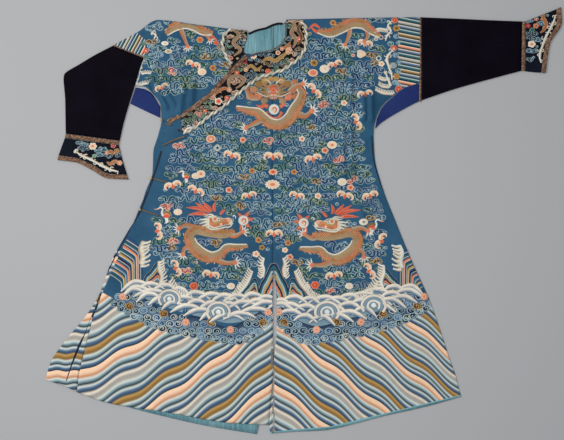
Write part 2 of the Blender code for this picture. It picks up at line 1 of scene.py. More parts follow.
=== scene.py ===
"""A formal Chinese dragon robe laid flat, front up: cloth, embroidery, collar, sleeves, cuffs and fastenings.

Left and right are the wearer's, so the left half lies at +X. Cloth tables are in millimetres: `across` is
measured from the centre front seam to the wearer's left, and `drop` down the robe from the shoulder line.
Motifs are laid out on a chart of 3.4 mm steps, and placed on the cloth that carries them.
"""

import logging
import math
from dataclasses import dataclass, field
from enum import Enum
from typing import Callable, NamedTuple, Sequence

import bpy
import numpy as np
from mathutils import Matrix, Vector
from mathutils.bvhtree import BVHTree

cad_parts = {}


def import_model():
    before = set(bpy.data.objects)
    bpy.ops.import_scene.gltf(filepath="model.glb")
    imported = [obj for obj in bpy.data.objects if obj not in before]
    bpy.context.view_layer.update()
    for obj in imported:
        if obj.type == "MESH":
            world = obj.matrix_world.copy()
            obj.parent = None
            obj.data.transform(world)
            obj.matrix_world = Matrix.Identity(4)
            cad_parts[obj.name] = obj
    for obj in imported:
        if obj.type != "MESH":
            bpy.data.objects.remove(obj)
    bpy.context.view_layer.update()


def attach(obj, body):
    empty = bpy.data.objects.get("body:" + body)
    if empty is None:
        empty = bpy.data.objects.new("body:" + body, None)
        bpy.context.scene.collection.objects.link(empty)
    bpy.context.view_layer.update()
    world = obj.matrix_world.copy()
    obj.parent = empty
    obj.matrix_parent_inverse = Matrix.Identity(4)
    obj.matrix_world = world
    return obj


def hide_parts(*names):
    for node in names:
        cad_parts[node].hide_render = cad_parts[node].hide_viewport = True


LOG = logging.getLogger("dragon_robe")

MM = 0.001
ORIGIN_ACROSS = 101.5
ORIGIN_DROP = 698.6

SILK_WALL = 1.2
LINING_WALL = 1.0
TRIM_WALL = 1.2
GAP = 0.3
LAYER = SILK_WALL + GAP
BACK_MID = SILK_WALL / 2
LINING_MID = SILK_WALL + GAP + LINING_WALL / 2
FRONT_MID = SILK_WALL + GAP + LINING_WALL + GAP + SILK_WALL / 2
LAP_FULL = -50.0
LAP_NONE = -10.0
TURN_RADIUS = 5.0
TURN_LOW = 0.75
FOLD_STARTS_OVER = 25.0
TURN_STEPS = (0.0, 0.15, 0.5, 1.2, 2.2, 3.6, 5.5)
LAP_STEPS = (0.0, 10.0, 23.0, 36.0, 50.0)
SLEEVE_THICK = 5.0
CUFF_THICK = 4.6
PIPING_THICK = 4.4

CORD_ANGLES = np.linspace(0, 2 * math.pi, 9)[:-1]

CHART_STEP = 3.4  # millimetres in a step of the motif chart
CHART_MIDDLE = 273.5  # the chart's column at the centre front seam
CHART_TOP = 15.5  # the chart's row at the shoulder line

Points = np.ndarray
Height = Callable[[Points, Points], Points]
Material = bpy.types.Material
Object = bpy.types.Object
Socket = bpy.types.NodeSocket


class Silk(Enum):
    """Thread and cloth colours, as linear red, green and blue."""

    CREAM = (0.84, 0.76, 0.60)
    IVORY = (0.88, 0.85, 0.75)
    WHITE = (0.88, 0.91, 0.90)
    ICE = (0.40, 0.55, 0.59)
    PALE_BLUE = (0.33, 0.46, 0.52)
    SKY = (0.10, 0.22, 0.34)
    ROYAL = (0.030, 0.090, 0.23)
    NAVY = (0.008, 0.020, 0.058)
    BLACK = (0.006, 0.006, 0.009)
    TEAL = (0.025, 0.130, 0.165)
    MOSS = (0.36, 0.43, 0.30)
    SAGE = (0.20, 0.32, 0.22)
    GREEN = (0.045, 0.145, 0.105)
    LILAC = (0.42, 0.42, 0.52)
    PEACH = (0.93, 0.62, 0.42)
    CORAL = (0.80, 0.25, 0.14)
    RED = (0.66, 0.065, 0.030)
    PLUM = (0.26, 0.04, 0.10)
    ORANGE = (0.60, 0.20, 0.075)
    GOLD = (0.56, 0.33, 0.10)
    OCHRE = (0.36, 0.19, 0.05)
    TAN = (0.42, 0.28, 0.175)
    STONE = (0.52, 0.43, 0.31)
    BROWN = (0.13, 0.060, 0.030)
    FROST = (0.66, 0.72, 0.66)
    MIST = (0.24, 0.36, 0.42)
    STEEL = (0.10, 0.18, 0.31)
    SLATE = (0.028, 0.055, 0.085)
    INK = (0.010, 0.018, 0.024)
    LINEN = (0.88, 0.77, 0.63)
    ASH = (0.42, 0.39, 0.34)
    UMBER = (0.25, 0.14, 0.04)
    BLUSH = (0.98, 0.66, 0.44)
    COPPER = (0.62, 0.27, 0.13)


class Row(NamedTuple):
    """One line across a piece, from its first edge to its second, as (across, drop) pairs."""

    first: tuple
    second: tuple
    between: tuple = ()


class Edge(NamedTuple):
    """A piece's long edge: how far from it the first points lie, and the drop from which it folds under."""

    steps: tuple = (0.0,)
    folds_from: float = math.inf


class Fold(NamedTuple):
    """A soft ridge in the cloth, from one (across, drop) end to the other."""

    start: tuple
    end: tuple
    wide: float
    high: float


SILK_SHEEN = 0.03
LOOK_FROM = 0.1  # height in metres from which the needlework looks down for its ground
LOOK_ROUND = 0.008  # how far in metres it looks round for ground where there is none below
LEAST_CUT = 0.01  # least width and length of a declared sheet, in metres

STRIPES = 9  # stripes in a repeat
STRIPE_REPEAT = 195.0  # drop of a repeat of the side strip
HEM_REPEAT = 235.0  # drop of a repeat of the hem, on the wearer's right
CORAL_STRIPES = (490, 675, 845, 1042, 1255, 1480)  # drops where the left hem's coral stripes meet the middle
SLEEVE_PHASE = 100  # whole repeats that mark the stripes of the sleeve ends
SLEEVE_FOOT = 300.0  # drop above which a sleeve's stripes lie
LEFT_SLEEVE_END = 423.0  # where the stripes of the left upper sleeve begin, across the robe
SIDE_STRIPES_FROM = 797.0  # drop at which the side strip's stripes begin
EDGE_LINE = 5.5  # width of the pale line along the left front's hem
MASK_RISE = 24.0  # millimetres over which a painted mask rises from nothing to full

# Soft ridges where the right front is caught up at the armpit.
ARMPIT_FOLDS = (
    Fold((-408, 225), (-388, 296), 24, 5.0),
    Fold((-296, 215), (-302, 256), 26, 3.0),
    Fold((-434, 226), (-392, 318), 8, 9.0),
    Fold((-408, 222), (-364, 312), 8, 8.5),
    Fold((-382, 236), (-336, 306), 8, 7.5),
    Fold((-272, 224), (-279, 296), 9, 9.5),
    Fold((-306, 232), (-318, 330), 9, 9.0),
)

# Low ridges that the left front and the overlap keep as they lie.
FRONT_FOLDS = (
    Fold((314, 260), (314, 350), 26, 2.6),
    Fold((246, 390), (240, 530), 34, 1.8),
    Fold((-330, 560), (-470, 1230), 75, 2.2),
    Fold((-150, 640), (-215, 1330), 90, 2.6),
    Fold((150, 420), (190, 1330), 85, 2.4),
    Fold((330, 640), (430, 1230), 80, 2.0),
    Fold((304, 262), (306, 350), 9, 10.5),
    Fold((330, 270), (333, 352), 9, 9.0),
    Fold((234, 380), (238, 536), 10, 10.0),
    Fold((261, 372), (266, 548), 10, 8.5),
    Fold((266, 200), (263, 300), 9, 9.0),
    Fold((288, 216), (286, 286), 8, 3.2),
    Fold((282, 560), (304, 700), 12, 3.4),
    Fold((-262, 850), (-300, 1010), 14, 3.0),
)

LEFT_SLEEVE_FOLDS = (
    Fold((560, 60), (820, 70), 16, 0.5),
    Fold((600, 150), (800, 130), 14, 0.45),
    Fold((520, 230), (700, 205), 12, 0.4),
)
RIGHT_SLEEVE_FOLDS = (
    Fold((-560, 140), (-690, 250), 14, 0.5),
    Fold((-500, 160), (-600, 300), 12, 0.45),
    Fold((-650, 280), (-560, 390), 14, 0.4),
)

# Loops, as (across, drop, height) along their middle line.
LOOPS = (
    ("loop_corner", ((-346, 371, 9.6), (-356, 372, 10.2), (-367, 366, 10.6))),
    ("loop_band_end", ((-302, 412, 9.6), (-338, 424, 9.2), (-376, 442, 9.0))),
    ("loop_side_upper", ((-362, 566, 9.8), (-384, 561, 9.8), (-408, 555, 9.6))),
    ("loop_side_lower", ((-392, 680, 9.8), (-416, 672, 9.8), (-445, 662, 9.6))),
)

# Hem edge of the left front, as (across, drop).
FRONT_LEFT_HEM = ((-10, 1420), (192, 1402), (430, 1345), (638, 1294.5))

# Places on the motif chart where the hem stripes begin, and the corners of the bent sleeve's striped end.
LEFT_STRIPES_FROM = ((272, 318), (277, 314), (300, 330), (320, 330), (350, 322), (400, 312), (430, 300),
                     (470, 290))
RIGHT_STRIPES_FROM = ((60, 270), (84, 282), (100, 291), (130, 307), (180, 325), (215, 332), (235, 332),
                      (271, 314), (274, 312))
RIGHT_SLEEVE_STRIPES = ((111, 46), (137, 32.5), (145.5, 40), (145, 58))

# Left back: from the centre back seam to the sleeve seam, the gusset and the side, and the vent below.
BACK_LEFT = (
    Row((2.5, 29), (496.5, 13.5), ((42.5, 20), (192, 18.5))),
    Row((2.5, 90), (496, 100.5)),
    Row((2.5, 151.5), (494.5, 229)),
    Row((2.5, 160), (488, 231.5)),
    Row((2.5, 219.5), (440.5, 247.5)),
    Row((2.5, 270.5), (405.5, 274.5)),
    Row((2.5, 321.5), (366.5, 311)),
    Row((2.5, 369), (348.5, 350)),
    Row((2.5, 412), (333.5, 388)),
    Row((2.5, 491.5), (337.5, 481)),
    Row((2.5, 576.5), (358.5, 569.5)),
    Row((2.5, 712.5), (414, 714)),
    Row((3.5, 838), (465, 838)),
    Row((11.5, 967.5), (522, 964)),
    Row((11.5, 1069.5), (559.5, 1069.5)),
    Row((4.5, 1161), (590, 1163)),
    Row((-2.5, 1273.5), (615.5, 1236)),
    Row((1.5, 1416), (631, 1297), ((158, 1411), (345, 1367.5), (532, 1325.5))),
)

# Right back: from the bent sleeve, the gusset and the side to the centre back seam.
# Its hem hangs longest at the vent.
BACK_RIGHT = (
    Row((-530.5, 104.5), (1, 27.5), ((-460.5, 68), (-386, 27), (-233, 44), (-86.5, 59.5))),
    Row((-510, 112.5), (1, 76.5)),
    Row((-474.5, 126.5), (1, 110.5)),
    Row((-436, 142), (1, 144.5)),
    Row((-446.5, 190.5), (1, 185.5)),
    Row((-461.5, 240.5), (1, 239.5)),
    Row((-441.5, 241), (1, 280.5)),
    Row((-416, 259), (1, 321.5)),
    Row((-382, 309), (1, 362)),
    Row((-374, 353.5), (1, 403)),
    Row((-385, 406.5), (1, 443.5)),
    Row((-402, 464), (1, 484.5)),
    Row((-404.5, 532), (1, 539)),
    Row((-429, 600), (1, 600)),
    Row((-448, 664.5), (1, 664.5)),
    Row((-493.5, 743), (1, 743)),
    Row((-543, 831.5), (0.5, 838)),
    Row((-585.5, 947), (-4.4, 967.5)),
    Row((-626.5, 1015), (-4.1, 1028.5)),
    Row((-698.5, 1103.5), (-1.7, 1120.5)),
    Row((-744.5, 1174.5), (-8.5, 1212)),
    Row((-763.5, 1233), (-57, 1423), ((-644.5, 1273.5), (-522, 1322.5), (-386, 1359), (-222.5, 1395.5))),
)

# Left front with its upper sleeve: from the neck, the centre seam and the vent to the sleeve seam, the gusset
# and the side.
FRONT_LEFT = (
    Row((44, 14.5), (496.5, 6), ((260, 9.5),)),
    Row((47.5, 42.5), (497.5, 69.5), ((267, 59.5),)),
    Row((46.5, 73), (497.5, 134.5), ((267, 117.5),)),
    Row((34, 102.5), (496.5, 192), ((260, 165),)),
    Row((2.5, 125.5), (494.5, 229), ((243, 212.5),)),
    Row((2, 133), (488, 231.2), ((240, 216),)),
    Row((1, 202.5), (440, 247.5), ((219.5, 260),)),
    Row((1, 270.5), (405, 274.5), ((199, 301),)),
    Row((1, 328), (366, 310.5), ((178.5, 341.5),)),
    Row((1, 375.5), (348, 349.5), ((171.5, 379),)),
    Row((1, 423.5), (339.5, 396), ((168.5, 418),)),
    Row((1, 491.5), (343.5, 481), ((168.5, 484.5),)),
    Row((1, 576.5), (365, 569.5), ((182, 573),)),
    Row((1, 712.5), (420, 714), ((209, 715.5),)),
    Row((1.5, 838), (471, 838), ((236.5, 841.5),)),
    Row((11, 967.5), (528, 964), ((270.5, 974),)),
    Row((11, 1069.5), (566, 1069.5), ((287.5, 1083),)),
    Row((2.5, 1161), (596.5, 1163), ((301, 1178),)),
    Row((-4, 1273.5), (622, 1236), ((314.5, 1276.5),)),
    Row((-14.5, 1392.5), (632, 1278.5), ((192, 1374), (425, 1328))),
    Row((-10, 1420), (638, 1294.5), ((192, 1402), (430, 1345))),
)

# Overlap: from its slanted fastening edge and its gore seam to the centre seam and the vent.
FRONT_OVERLAP = (
    Row((-91, 131.5), (-1, 124)),
    Row((-136, 180), (-1, 171.5)),
    Row((-212.5, 258.5), (-1, 253.5)),
    Row((-280.5, 311), (-1, 314.5)),
    Row((-362, 361.5), (-1, 369)),
    Row((-364, 389.5), (-1, 403)),
    Row((-381.5, 457.5), (-1, 464)),
    Row((-400.5, 525.5), (-1, 532)),
    Row((-450.5, 644.5), (-1, 651)),
    Row((-493.5, 746.5), (-1, 753)),
    Row((-535.5, 838), (-0.5, 838)),
    Row((-589, 960.5), (-3.5, 967.5)),
    Row((-607, 1004.5), (-3, 1028.5)),
    Row((-624, 1072.5), (-1.7, 1103.5)),
    Row((-642.5, 1144), (1.2, 1164.5)),
    Row((-656, 1198.5), (-5, 1266.5)),
    Row((-668, 1279.5), (-16.5, 1390.5), ((-566, 1315), (-352, 1350), (-131, 1385.5))),
)

# Gore let into the overlap's outer edge, from its point down to the hem.
OVERLAP_GORE = (
    Row((-618.5, 1024), (-614.5, 1027)),
    Row((-636, 1072.5), (-626, 1072.5)),
    Row((-661.5, 1137.5), (-643.5, 1140.5)),
    Row((-686, 1195), (-658.5, 1198.5)),
    Row((-708, 1259.5), (-670, 1278)),
)

# Right front with its upper sleeve: it lies under the overlap and shows at the armpit and along the side.
FRONT_UNDER = (
    Row((-541.5, 100), (-97, 52.5), ((-464, 58.5), (-392.5, 16), (-250, 33))),
    Row((-516.5, 111), (-100.5, 76.5), ((-447, 83.5), (-379, 56), (-243, 69.5))),
    Row((-477, 126), (-102, 103.5), ((-420, 107), (-358.5, 93.5), (-233, 103.5))),
    Row((-438.5, 140.5), (-102, 131), ((-386, 137.5), (-331.5, 131), (-222.5, 137.5))),
    Row((-455, 190.5), (-93.5, 178.5), ((-392.5, 185.5), (-331.5, 182), (-216, 185.5))),
    Row((-469, 238.5), (-80, 226), ((-399.5, 233), (-324.5, 226), (-209, 233))),
    Row((-443, 239), (-69.5, 280.5)),
    Row((-417, 258), (-63, 321.5)),
    Row((-382.5, 308.5), (-59.5, 362)),
    Row((-380, 353.5), (-59.5, 403)),
    Row((-391.5, 406.5), (-59.5, 443.5)),
    Row((-408, 464), (-59.5, 484.5)),
    Row((-410.5, 532), (-59.5, 539)),
    Row((-435, 600), (-59.5, 600)),
    Row((-454, 664.5), (-59.5, 664.5)),
    Row((-500, 743), (-59.5, 743)),
    Row((-549, 831.5), (-59.5, 831.5)),
    Row((-591.5, 947), (-59.5, 947)),
    Row((-632.5, 1015), (-59.5, 1021.5)),
    Row((-705.5, 1103.5), (-59.5, 1123.5)),
    Row((-755, 1174.5), (-59.5, 1219)),
    Row((-775, 1237), (-59.5, 1377), ((-705.5, 1261.5), (-573, 1304), (-318, 1346.5))),
)

# Gussets: from the seam with the front to the fold along the underarm.
GUSSET_LEFT = (
    Row((494, 231.5), (494, 292.5)),
    Row((488, 233.2), (488, 295)),
    Row((441, 249.5), (443.5, 318)),
    Row((407, 276.5), (389.5, 349)),
    Row((369, 313), (360.5, 369.5)),
    Row((351.5, 350.5), (346, 384)),
)

GUSSET_RIGHT = (
    Row((-468.5, 245.5), (-487, 300)),
    Row((-444.5, 249), (-455.5, 315)),
    Row((-419, 261), (-420, 332)),
    Row((-385, 310.5), (-385, 348)),
)

# Lower sleeves: from the shoulder fold to the underarm edge, a row for each section along the arm.
SLEEVE_LEFT = (
    Row((503, 6.5), (503, 288.5)),
    Row((617, 11), (617, 250)),
    Row((736, 16.5), (736, 216.5)),
    Row((844, 20.5), (841.5, 188.5)),
)

SLEEVE_RIGHT = (
    Row((-546.5, 103.5), (-440.8, 145.2)),
    Row((-603.5, 133), (-452, 173.5)),
    Row((-658, 165.5), (-460.5, 202.5)),
    Row((-712, 202.5), (-469, 231)),
    Row((-713.5, 217.5), (-478.5, 262)),
    Row((-708, 287.5), (-490.5, 301.5)),
    Row((-707, 348.5), (-508.5, 364)),
    Row((-706, 401.5), (-522.5, 426)),
)

# Brocade piping in the seams between the upper and the lower sleeves.
SLEEVE_PIPING_LEFT = (
    Row((498.3, 6), (497.2, 294.5)),
    Row((502.3, 6.2), (502.3, 291)),
)

SLEEVE_PIPING_RIGHT = (
    Row((-542.5, 101), (-439, 141.5)),
    Row((-546, 103), (-440.5, 144.3)),
)

# Brocade bands between the sleeves and their cuffs.
CUFF_BAND_LEFT = (
    Row((845, 20.5), (842.5, 188.5)),
    Row((857.5, 20), (855, 189.5)),
)

CUFF_BAND_RIGHT = (
    Row((-706, 402.5), (-523, 427)),
    Row((-709, 416), (-525.5, 440.5)),
)

# Horse-hoof cuffs, flared towards the back of the hand, and the brocade bindings of their free edges.
CUFF_LEFT = (
    Row((858.5, 19.5), (856, 190), ((858.5, 76.5), (857, 134.5))),
    Row((909.5, -0.5), (882.5, 193), ((906, 63), (892.5, 124))),
    Row((960, -20.5), (908, 195), ((961.5, 20.5), (924, 96))),
)

CUFF_BINDING_LEFT = (
    Row((961, -21), (909, 195), ((962.5, 20.5), (925, 96.5))),
    Row((976, -28), (924, 196.5), ((979.5, 21.5), (938.5, 99))),
)

CUFF_RIGHT = (
    Row((-709, 417), (-525.5, 441.5), ((-663, 423.5), (-617, 429.5), (-573, 435))),
    Row((-720, 446.5), (-515, 484.5), ((-668, 454), (-610.5, 470), (-562.5, 484.5))),
    Row((-730.5, 475), (-498, 541), ((-671.5, 484), (-610.5, 510), (-557.5, 538))),
)

CUFF_BINDING_RIGHT = (
    Row((-731, 476), (-498, 542), ((-671.5, 485), (-610.5, 511), (-558, 539))),
    Row((-734.5, 491), (-492.5, 557.5), ((-673.5, 499), (-617, 525.5), (-562.5, 554))),
)

# Collar facing on the right shoulder, and the one from the left shoulder down the fastening edge.
COLLAR_NECK = (
    Row((-144.5, 47.5), (-89.5, 51.5)),
    Row((-170.5, 69.5), (-90, 74.5)),
    Row((-173.5, 100.5), (-98.5, 101.5)),
    Row((-164, 134.5), (-101, 124)),
    Row((-144, 170.5), (-103.5, 134.5)),
)

COLLAR_OVERLAP = (
    Row((42, 18.5), (93.5, 14.5)),
    Row((45, 46), (108.5, 41)),
    Row((44, 72.5), (111.5, 71.5)),
    Row((33, 97.5), (108, 107)),
    Row((16, 112.5), (93.5, 137.5)),
    Row((-5, 123.5), (65, 163)),
    Row((-33.5, 131), (27, 187.5)),
    Row((-61.5, 137.5), (-15.5, 200.5)),
    Row((-84.5, 146.5), (-52.5, 214.5)),
    Row((-128, 188), (-92, 243)),
    Row((-173.5, 235.5), (-137.5, 281)),
    Row((-210, 275.5), (-175, 314)),
    Row((-244.5, 302.5), (-218.5, 342.5)),
    Row((-289.5, 335.5), (-263.5, 378.5)),
    Row((-315, 351), (-307.5, 403)),
)

# Lines along which narrow trim is laid.
OVERLAP_BINDING_LINE = ((-92, 136.5), (-135.5, 180.5), (-182, 227.5), (-216.5, 267), (-250.5, 293.5),
                        (-296, 327.5), (-360.5, 360))
NECK_BINDING_LINE = ((38.5, 24), (41, 46), (40, 70.5), (29, 93.5), (12.5, 108), (-8, 118), (-36, 125),
                     (-64.5, 130), (-80, 133))
BACK_NECK_LINE = ((-84.5, 63), (-56, 51), (-25, 43.5), (-1.5, 33), (18.5, 28), (31, 28.5))
ROPE_NECK_LINE = ((-141, 48), (-158, 56), (-171, 75), (-173, 101), (-164, 133), (-148, 159.5), (-143, 168))
ROPE_OVERLAP_LINE = ((93.5, 18), (108.5, 41), (111.5, 71.5), (108, 107), (93.5, 137.5), (65, 163),
                     (27, 187.5), (-15.5, 200.5), (-52.5, 214.5), (-92, 243), (-137.5, 281), (-175, 314),
                     (-218.5, 342.5), (-263.5, 378.5), (-307.5, 403))

# ---------------------------------------------------------------- curves and cloth forms


def smooth_step(value: Points, low: float, high: float) -> Points:
    """Return 0 at low and 1 at high, with an eased rise between them."""
    t = np.clip((value - low) / (high - low), 0.0, 1.0)
    return t * t * (3.0 - 2.0 * t)


def lengths_along(points: Points) -> Points:
    """Distance of each point from the first, along the line through them."""
    return np.concatenate([[0.0], np.cumsum(np.linalg.norm(np.diff(points, axis=0), axis=1))])


def eased_slopes(knots: Points, values: Points) -> Points:
    """Slopes for a curve through the values that never swings past them."""
    step = np.diff(knots)[:, None]
    chord = np.diff(values, axis=0) / step
    slopes = np.empty_like(values)
    slopes[0], slopes[-1] = chord[0], chord[-1]
    for i in range(1, len(values) - 1):
        before, after = chord[i - 1], chord[i]
        weight_after, weight_before = 2 * step[i] + step[i - 1], step[i] + 2 * step[i - 1]
        same_way = before * after > 0
        safe_before, safe_after = np.where(same_way, before, 1.0), np.where(same_way, after, 1.0)
        mean = (weight_after + weight_before) / (weight_after / safe_before + weight_before / safe_after)
        slopes[i] = np.where(same_way, mean, 0.0)
    return slopes


def curve_at(knots: Points, values: Points, wanted: Points) -> Points:
    """Read the smooth curve through (knots, values) at each wanted place."""
    slopes = eased_slopes(knots, values)
    span = np.clip(np.searchsorted(knots, wanted, side="right") - 1, 0, len(knots) - 2)
    width = (knots[span + 1] - knots[span])[:, None]
    t = ((wanted - knots[span]) / width[:, 0])[:, None]
    low, high = values[span], values[span + 1]
    return (
        (1 + 2 * t) * (1 - t) ** 2 * low
        + t * (1 - t) ** 2 * width * slopes[span]
        + t * t * (3 - 2 * t) * high
        + t * t * (t - 1) * width * slopes[span + 1]
    )


def headings(line: Points) -> tuple:
    """Unit vectors along a line of points, and square to it."""
    ahead = np.gradient(line, axis=0)
    ahead /= np.maximum(np.linalg.norm(ahead, axis=1), 1e-6)[:, None]
    return ahead, np.stack([-ahead[:, 1], ahead[:, 0]], axis=1)


def flowing(points: Sequence, step: float) -> Points:
    """Read a freely swinging curve through the points.

    Args:
        points: places, with any further values in more columns.
        step: distance between the places returned.

    Returns:
        Evenly spaced places along the curve.
    """
    p = np.asarray(points, float)
    ends = np.vstack([2 * p[0] - p[1], p, 2 * p[-1] - p[-2]])
    t = np.linspace(0, 1, 10, endpoint=False)[:, None]
    runs = [
        0.5 * (2 * b + (c - a) * t + (2 * a - 5 * b + 4 * c - d) * t**2 + (3 * b - a - 3 * c + d) * t**3)
        for a, b, c, d in zip(ends[:-3], ends[1:-2], ends[2:-1], ends[3:])
    ]
    curve = np.vstack([*runs, p[-1:]])
    along = lengths_along(curve[:, :2])
    wanted = np.linspace(0, along[-1], max(2, round(along[-1] / step)) + 1)
    return np.stack([np.interp(wanted, along, curve[:, i]) for i in range(p.shape[1])], axis=1)


def inside(points: Points, outline: Sequence) -> Points:
    """Tell which (x, y) points lie within a closed outline."""
    x, y = points[..., 0], points[..., 1]
    within = np.zeros(x.shape, bool)
    corners = np.asarray(outline, float)
    for (ax, ay), (bx, by) in zip(corners, np.roll(corners, -1, axis=0)):
        crosses = (ay > y) != (by > y)
        within ^= crosses & (x < (bx - ax) * (y - ay) / (by - ay if by != ay else 1.0) + ax)
    return within


def control_net(rows: Sequence[Row]) -> Points:
    """The rows' points, each row read at as many points as the fullest one has."""
    count = 2 + max(len(row.between) for row in rows)
    net = []
    for row in rows:
        line = np.array([row.first, *row.between, row.second], float)
        if len(line) < count:
            along = lengths_along(line)
            line = curve_at(along, line, np.linspace(0, along[-1], count))
        net.append(line)
    return np.array(net)


def turned(height: Points, distance: Points, share: Points | float = 1.0) -> Points:
    """Lower a height towards the surface, close to an edge that folds under there by the given share."""
    part = 1.0 - np.minimum(distance / TURN_RADIUS, 1.0)
    low = TURN_LOW + (height - TURN_LOW) * np.sqrt(1.0 - part * part)
    return height + (low - height) * share


def sheet_points(rows: Sequence[Row], pitch: float, first: Edge = Edge(), second: Edge = Edge(),
                 top: tuple = (0.0,)) -> Points:
    """Points of a cut piece as lines from its first edge to its second.

    Args:
        rows: the piece's lines, from the top down.
        pitch: distance between points, in millimetres.
        first: spacing of the first points by the first edge.
        second: spacing of the last points by the second edge.
        top: distances of the first lines from the top edge.

    Returns:
        An array of lines, points and (across, drop).
    """
    net = control_net(rows)
    gaps = np.linalg.norm(np.diff(net, axis=0), axis=2).mean(axis=1)
    knots = np.concatenate([[0.0], np.cumsum(gaps)])
    low, high = top[-1], knots[-1]
    places = np.concatenate([top[:-1], np.linspace(low, high, max(2, round((high - low) / pitch)) + 1)])
    flat = curve_at(knots, net.reshape(len(net), -1), places).reshape(len(places), -1, 2)
    widest = max(lengths_along(line)[-1] for line in flat)
    count = max(2, round((widest - first.steps[-1] - second.steps[-1]) / pitch))
    lines = []
    for line in flat:
        along = lengths_along(line)
        middle = np.linspace(first.steps[-1], along[-1] - second.steps[-1], count + 1)[1:-1]
        ends = along[-1] - np.array(second.steps[::-1])
        lines.append(curve_at(along, line, np.concatenate([first.steps, middle, ends])))
    return np.array(lines)


def lifted(folds: Sequence[Fold], across: Points, drop: Points) -> Points:
    """How far the folds lift the cloth at a place."""
    lift = np.zeros(np.shape(across))
    for fold in folds:
        start = np.array(fold.start, float)
        run = np.array(fold.end, float) - start
        length = np.linalg.norm(run)
        run /= length
        along = (across - start[0]) * run[0] + (drop - start[1]) * run[1]
        aside = (across - start[0]) * run[1] - (drop - start[1]) * run[0]
        past = np.maximum(np.maximum(-along, along - length), 0.0)
        lift += fold.high * np.exp(-(aside**2 + past**2) / fold.wide**2)
    return lift


def under_height(across: Points, drop: Points) -> Points:
    """Middle of the right front's wall, where it lies on the back's lining."""
    return FRONT_MID + lifted(ARMPIT_FOLDS, across, drop)


def front_height(across: Points, drop: Points) -> Points:
    """Middle of the left front's wall, and of the overlap's, which climbs over the right front."""
    over = LAYER * smooth_step(-across, -LAP_NONE, -LAP_FULL)
    return FRONT_MID + lifted(FRONT_FOLDS, across, drop) + over


def level_height(level: float) -> Height:
    """A height that is the same all over a piece."""
    return lambda across, drop: np.full(np.shape(across), level)


def raised(height: Height, layers: float) -> Height:
    """The given height with more layers of cloth under the piece."""
    return lambda across, drop: height(across, drop) + layers * LAYER


def placed(points: Points) -> Points:
    """Points of (across, drop, height) in millimetres in the part's own frame, in metres."""
    across, drop, height = np.moveaxis(np.asarray(points, float), -1, 0)
    return np.stack([(across - ORIGIN_ACROSS) * MM, (ORIGIN_DROP - drop) * MM, height * MM], axis=-1)


def on_chart(points: Sequence) -> Points:
    """Places of the motif chart as (across, drop) in millimetres; further columns are kept."""
    p = np.array(points, float)
    p[..., 0] = (p[..., 0] - CHART_MIDDLE) * CHART_STEP
    p[..., 1] = (p[..., 1] - CHART_TOP) * CHART_STEP
    return p


def grid_faces(lines: int, across_count: int, closed: bool = False) -> Points:
    """Corner indices of the quads of a grid, rolled into a tube if closed."""
    index = np.arange(lines * across_count).reshape(lines, across_count)
    if closed:
        index = np.hstack([index, index[:, :1]])
    corners = [index[:-1, :-1], index[:-1, 1:], index[1:, 1:], index[1:, :-1]]
    return np.stack(corners, axis=-1).reshape(-1, 4)


def mesh_object(name: str, points: Points, faces: Points) -> Object:
    """A smooth mesh object of the given points, in metres, linked to the scene."""
    mesh = bpy.data.meshes.new(name)
    mesh.from_pydata([tuple(p) for p in points.reshape(-1, 3)], [], [tuple(f) for f in faces.tolist()])
    mesh.shade_smooth()
    piece = bpy.data.objects.new(name, mesh)
    bpy.context.scene.collection.objects.link(piece)
    return piece


def paint(piece: Object, name: str, values: Points) -> None:
    """Store a colour at each point of a piece."""
    layer = piece.data.color_attributes.new(name, "FLOAT_COLOR", "POINT")
    rgba = np.ones((len(piece.data.vertices), 4), np.float32)
    rgba[:, : values.shape[1]] = values
    layer.data.foreach_set("color", rgba.ravel())


# ---------------------------------------------------------------- finishes


